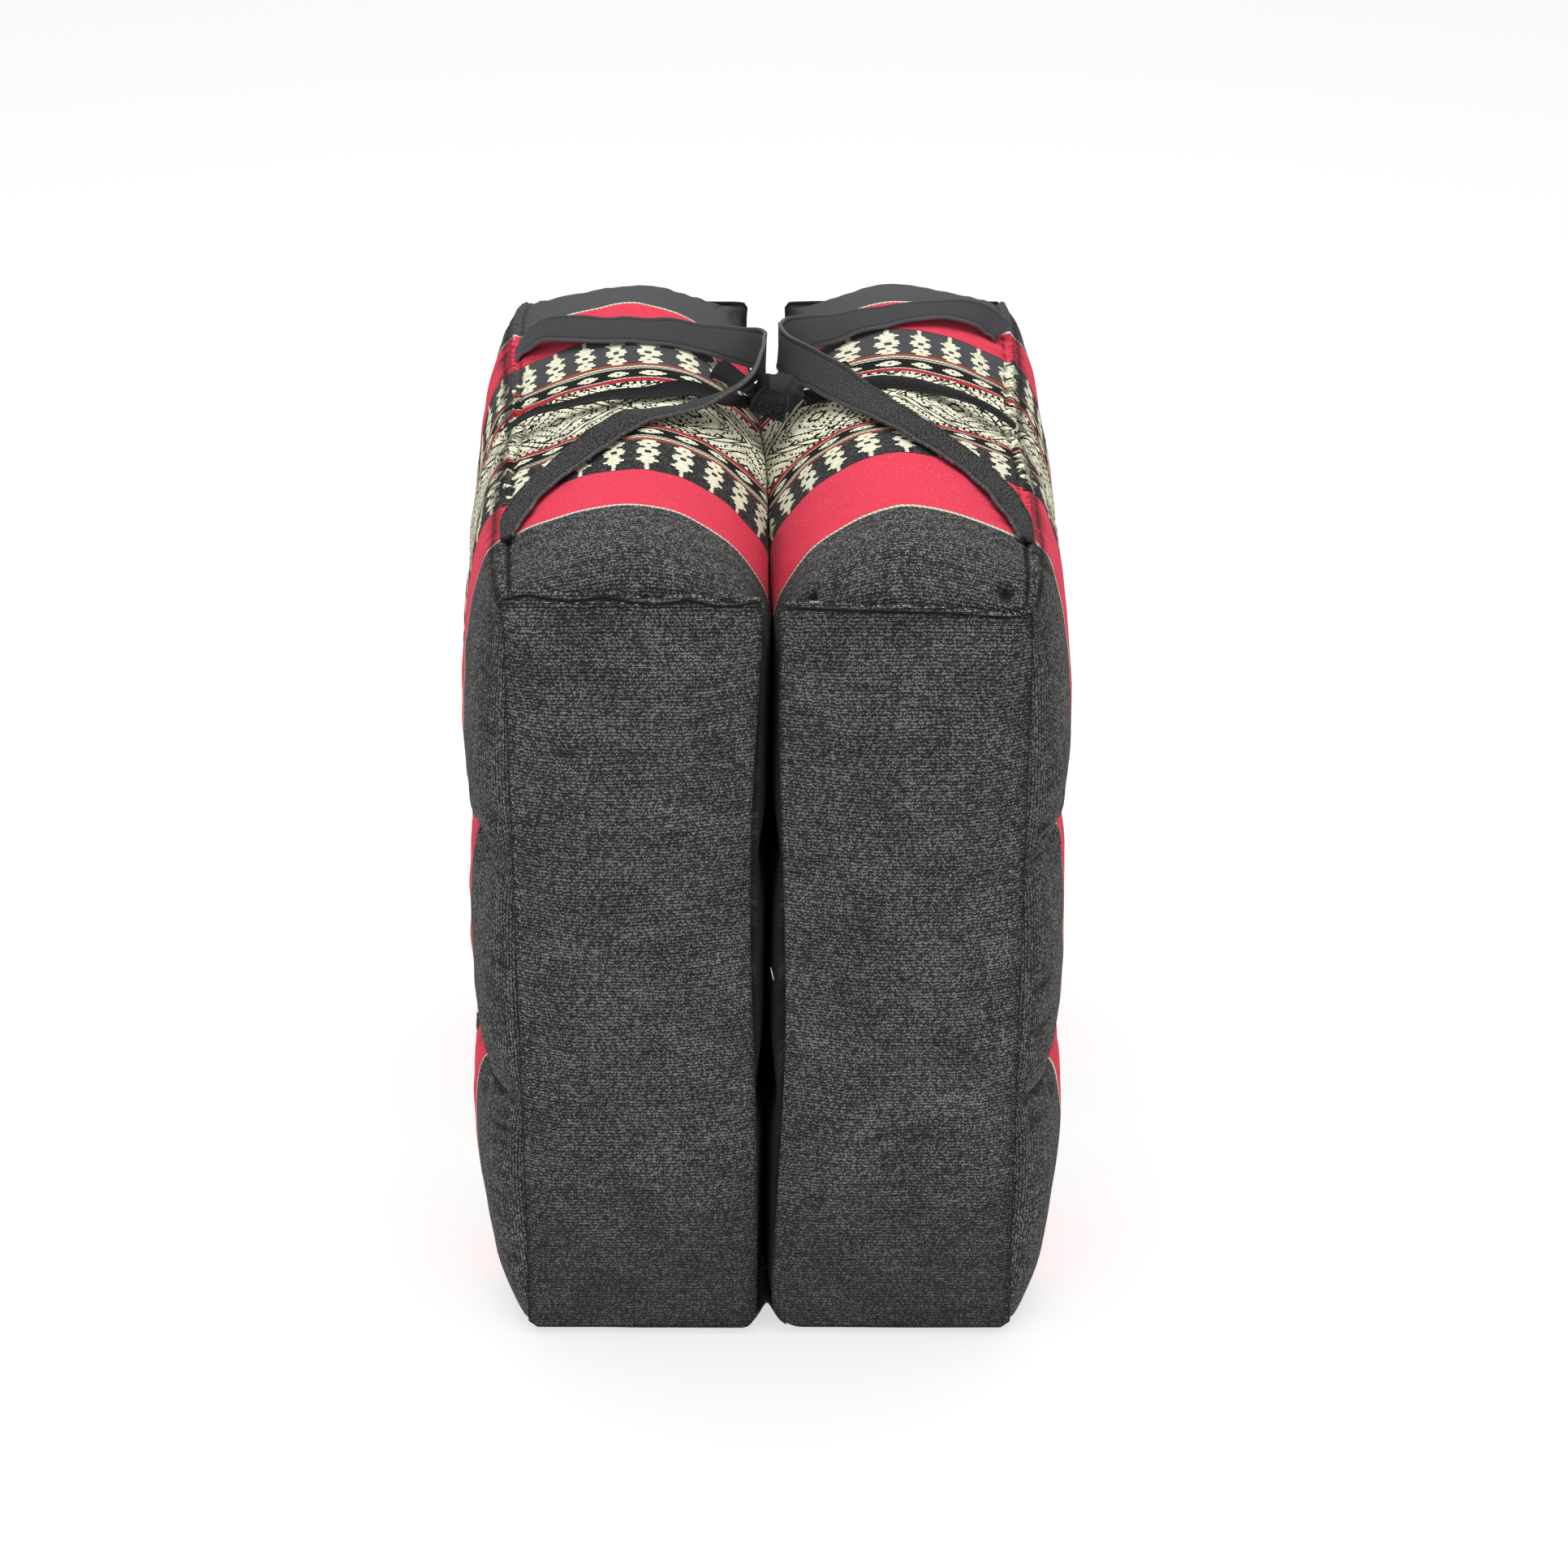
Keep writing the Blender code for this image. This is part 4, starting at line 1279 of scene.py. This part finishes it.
HANDLE_RIGHT = [
    (13.1, 12.6, 45.1, -0.1, 0.62, 0.78, 0.95),
    (12.4, 12.7, 46.15, -0.1, 0.8, 0.6, 1.0),
    (11.1, 12.4, 46.85, 0.0, 0.97, 0.2, 1.0),
    (9.0, 11.6, 47.3, 0.0, 1.0, 0.03, 1.0),
    (6.1, 10.4, 47.35, 0.0, 0.99, 0.14, 1.0),
    (3.4, 9.5, 47.05, 0.0, 0.93, 0.36, 1.0),
    (1.8, 8.5, 47.1, 0.05, 0.8, 0.6, 1.0),
    (0.8, 7.1, 47.25, 0.0, 0.4, 0.92, 1.0),
    (0.55, 5.5, 47.7, 0.0, 0.0, 1.0, 1.0),
    (0.75, 4.2, 47.75, 0.2, 0.1, 1.0, 1.0),
    (1.5, 3.0, 47.6, 0.4, 0.25, 0.88, 1.0),
    (3.1, 1.5, 47.35, 0.65, 0.4, 0.65, 0.97),
    (4.9, -0.6, 47.0, 0.8, 0.52, 0.3, 0.95),
    (6.5, -3.2, 47.1, 0.82, 0.56, 0.05, 0.94),
    (8.2, -5.6, 47.0, 0.82, 0.56, -0.08, 0.94),
    (10.1, -7.8, 46.5, 0.8, 0.55, -0.2, 0.93),
    (11.6, -9.9, 46.0, 0.79, 0.54, -0.28, 0.92),
    (12.7, -12.5, 45.5, 0.82, 0.42, -0.38, 0.84),
    (13.25, -15.2, 44.95, 0.86, 0.28, -0.42, 0.38),
]
TIE_LEFT = [
    (-14.2, -0.1, 44.9, 0.1, 1.0, 0.0, 1.0),
    (-12.7, -0.4, 45.95, 0.1, 1.0, 0.0, 1.0),
    (-10.8, -0.7, 46.63, 0.1, 1.0, 0.0, 1.0),
    (-8.7, -0.4, 46.9, 0.0, 1.0, 0.1, 1.1),
    (-6.6, 0.1, 46.95, -0.1, 1.0, 0.2, 1.2),
    (-4.4, 1.1, 46.75, -0.1, 1.0, 0.3, 1.4),
    (-2.6, 1.6, 46.0, 0.0, 1.0, 0.2, 1.3),
    (-0.85, 1.8, 45.6, 0.0, 1.0, 0.2, 1.2),
]
TIE_RIGHT = [
    (13.35, 0.4, 44.95, 0.0, 1.0, 0.0, 0.9),
    (12.3, 0.4, 45.75, 0.0, 1.0, 0.0, 1.0),
    (10.6, 0.6, 46.55, 0.1, 1.0, 0.0, 1.1),
    (8.3, 1.4, 46.9, 0.2, 1.0, 0.1, 1.3),
    (5.8, 2.0, 46.85, 0.1, 1.0, 0.2, 1.4),
    (3.6, 2.1, 46.25, 0.0, 1.0, 0.25, 1.3),
    (1.95, 1.9, 45.95, 0.0, 1.0, 0.5, 1.2),
]
END_LEFT = [
    (-0.9, 3.3, 45.75, 0.5, 0.7, 0.2, 0.9),
    (-1.8, 4.6, 45.95, 0.5, 0.8, 0.3, 1.3),
    (-2.9, 5.7, 45.85, 0.5, 0.8, 0.5, 1.5),
]
END_RIGHT = [
    (1.4, 3.1, 46.1, -0.4, 0.8, 0.2, 0.9),
    (2.9, 4.4, 46.3, -0.4, 0.85, 0.2, 1.0),
    (4.4, 5.3, 46.5, -0.4, 0.9, 0.15, 0.8),
]
END_HANGING = [
    (0.4, 0.6, 46.85, 1.0, 0.1, 0.0, 1.5),
    (0.15, 0.1, 46.4, 1.0, -0.1, 0.1, 2.2),
    (-0.15, -0.25, 45.7, 1.0, -0.1, 0.15, 2.3),
]

for name, side, rows, seed in (
    ("handle_left", -1, HANDLE_LEFT, 4),
    ("handle_right", 1, HANDLE_RIGHT, 7),
):
    obj, length = make_strip("tape_" + name, side, rows, TAPE, seed)
    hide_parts(name)
    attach(obj, "root")

for name, side, rows, seed in (
    ("tie_left", -1, TIE_LEFT, 11),
    ("tie_right", 1, TIE_RIGHT, 12),
    ("tie_end_left", -1, END_LEFT, 13),
    ("tie_end_right", 1, END_RIGHT, 14),
    ("tie_end_hanging", 1, END_HANGING, 15),
):
    obj, length = make_strip("ribbon_" + name, side, rows, RIBBON, seed)
    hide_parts(name)
    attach(obj, "root")


KNOT_CENTRE = (0.38 + CENTRE_SHIFT, 1.85, 46.2)
KNOT_RADII = (1.4, 1.05, 1.15)


def make_knot():
    """Wraps of ribbon pulled tight, as a ball drawn in along them."""
    rows, columns = 60, 90
    points = []
    for i in range(rows + 1):
        a = math.pi * (0.001 + 0.998 * i / rows)
        for k in range(columns):
            b = math.tau * k / columns
            x = math.sin(a) * math.cos(b)
            y = math.sin(a) * math.sin(b)
            z = -math.cos(a)
            wrap = 0.96 + 0.07 * math.cos(6.0 * (x + 0.6 * z)) * (1.0 - y * y)
            wrap += 0.05 * abs(math.sin(4.0 * y + 5.0 * x * z)) + 0.025 * math.sin(14.0 * (x - 0.5 * z))
            place = zip(KNOT_CENTRE, KNOT_RADII, (x, y, z))
            points.append([centre + radius * part * wrap for centre, radius, part in place])
    uv = [(p[0], p[2]) for p in points]
    return build_mesh("ribbon_knot", points, tube_faces(rows + 1, columns), uv, ribbon_black)


knot = make_knot()
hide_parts("tie_knot")
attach(knot, "root")


HINGE_ARCH = (
    (-1.5, 0.32), (-1.02, 0.62), (-0.62, 1.05), (-0.28, 1.5), (0.0, 1.72),
    (0.28, 1.5), (0.62, 1.05), (1.02, 0.62), (1.5, 0.32),
)
HINGE_STATIONS = 81
HINGE_HALF_LENGTH = HALF_LENGTH - 0.25


def make_hinge():
    """The strip that joins the halves below, arched up between them, wider to the far end."""
    fine = spline(HINGE_ARCH, 5)
    rings = []
    for t in np.linspace(-1.0, 1.0, HINGE_STATIONS):
        y = t * HINGE_HALF_LENGTH
        far = smooth((t + 0.1) / 1.1)
        near_end = smooth((-0.55 - t) / 0.35)
        wider = 0.97 + 0.25 * far - 0.2 * near_end
        shift = lean(1.0) - 0.5 * far + 0.25 * near_end + CENTRE_SHIFT
        wave = 0.04 * math.sin(1.7 * y) + 0.03 * math.sin(3.1 * y + 1.0)
        ring = [(x * wider + shift, y, z + 0.08 + wave) for x, z in fine]
        ring += [(x * wider * 0.88 + shift, y, z - 0.08 + wave) for x, z in fine[::-1]]
        rings.append(ring)
    count = len(rings[0])
    points = np.vstack([np.array(r) for r in rings])
    faces = ring_faces(len(rings), count)
    half = len(fine)
    last = (len(rings) - 1) * count
    for i in range(half - 1):
        near = (i, i + 1, count - 2 - i, count - 1 - i)
        faces.append(near)
        faces.append(tuple(last + v for v in near[::-1]))
    return build_mesh("cloth_hinge", points, faces, points[:, [0, 1]], black)


hinge = make_hinge()
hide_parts("hinge_strip")
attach(hinge, "root")


# The floor, the light and the camera, in metres

FLOOR_COLOUR = (0.45, 0.452, 0.458)
FLOOR_GLOW = 0.64
SKY_STRENGTH = 0.48
LIT_POINT = Vector((0.0, 0.0, 0.3))
SENSOR = 36.0
FRAME_PIXELS = 1932.0
FOCAL_PIXELS = 5716.0
CAMERA_PLACE = (0.012, -2.327, 1.413)
CAMERA_DOWN = 26.88

floor_mesh = bpy.data.meshes.new("floor")
floor_mesh.from_pydata([(-9, -6, 0), (9, -6, 0), (9, 12, 0), (-9, 12, 0)], [], [(0, 1, 2, 3)])
floor = bpy.data.objects.new("floor", floor_mesh)
looks.objects.link(floor)
floor.data.materials.append(plain("floor_white", FLOOR_COLOUR, 0.9, FLOOR_GLOW))

world = bpy.data.worlds.new("studio")
world.use_nodes = True
sky = world.node_tree.nodes["Background"]
sky.inputs["Color"].default_value = (1.0, 1.0, 1.0, 1.0)
sky.inputs["Strength"].default_value = SKY_STRENGTH
scene.world = world


def area(name, place, size, power):
    """A soft rectangular light that looks at the cushion."""
    data = bpy.data.lights.new(name, "AREA")
    data.shape = "RECTANGLE"
    data.size = size[0]
    data.size_y = size[1]
    data.energy = power
    lamp = bpy.data.objects.new(name, data)
    looks.objects.link(lamp)
    lamp.location = place
    lamp.rotation_euler = (LIT_POINT - Vector(place)).to_track_quat("-Z", "Y").to_euler()


area("top_soft", (0.0, 0.2, 2.2), (1.8, 1.8), 31)
area("front_left", (-1.3, -2.0, 1.2), (1.0, 1.4), 9)
area("front_right", (1.3, -2.0, 1.2), (1.0, 1.4), 8)

camera_data = bpy.data.cameras.new("camera")
camera = bpy.data.objects.new("camera", camera_data)
looks.objects.link(camera)
camera_data.sensor_width = SENSOR
camera_data.lens = FOCAL_PIXELS / FRAME_PIXELS * SENSOR
camera_data.clip_start = 0.1
camera_data.clip_end = 40.0
camera.location = CAMERA_PLACE
camera.rotation_euler = (math.radians(90.0 - CAMERA_DOWN), 0.0, 0.0)
scene.camera = camera

scene.view_settings.view_transform = "Standard"
scene.view_settings.exposure = 0.0
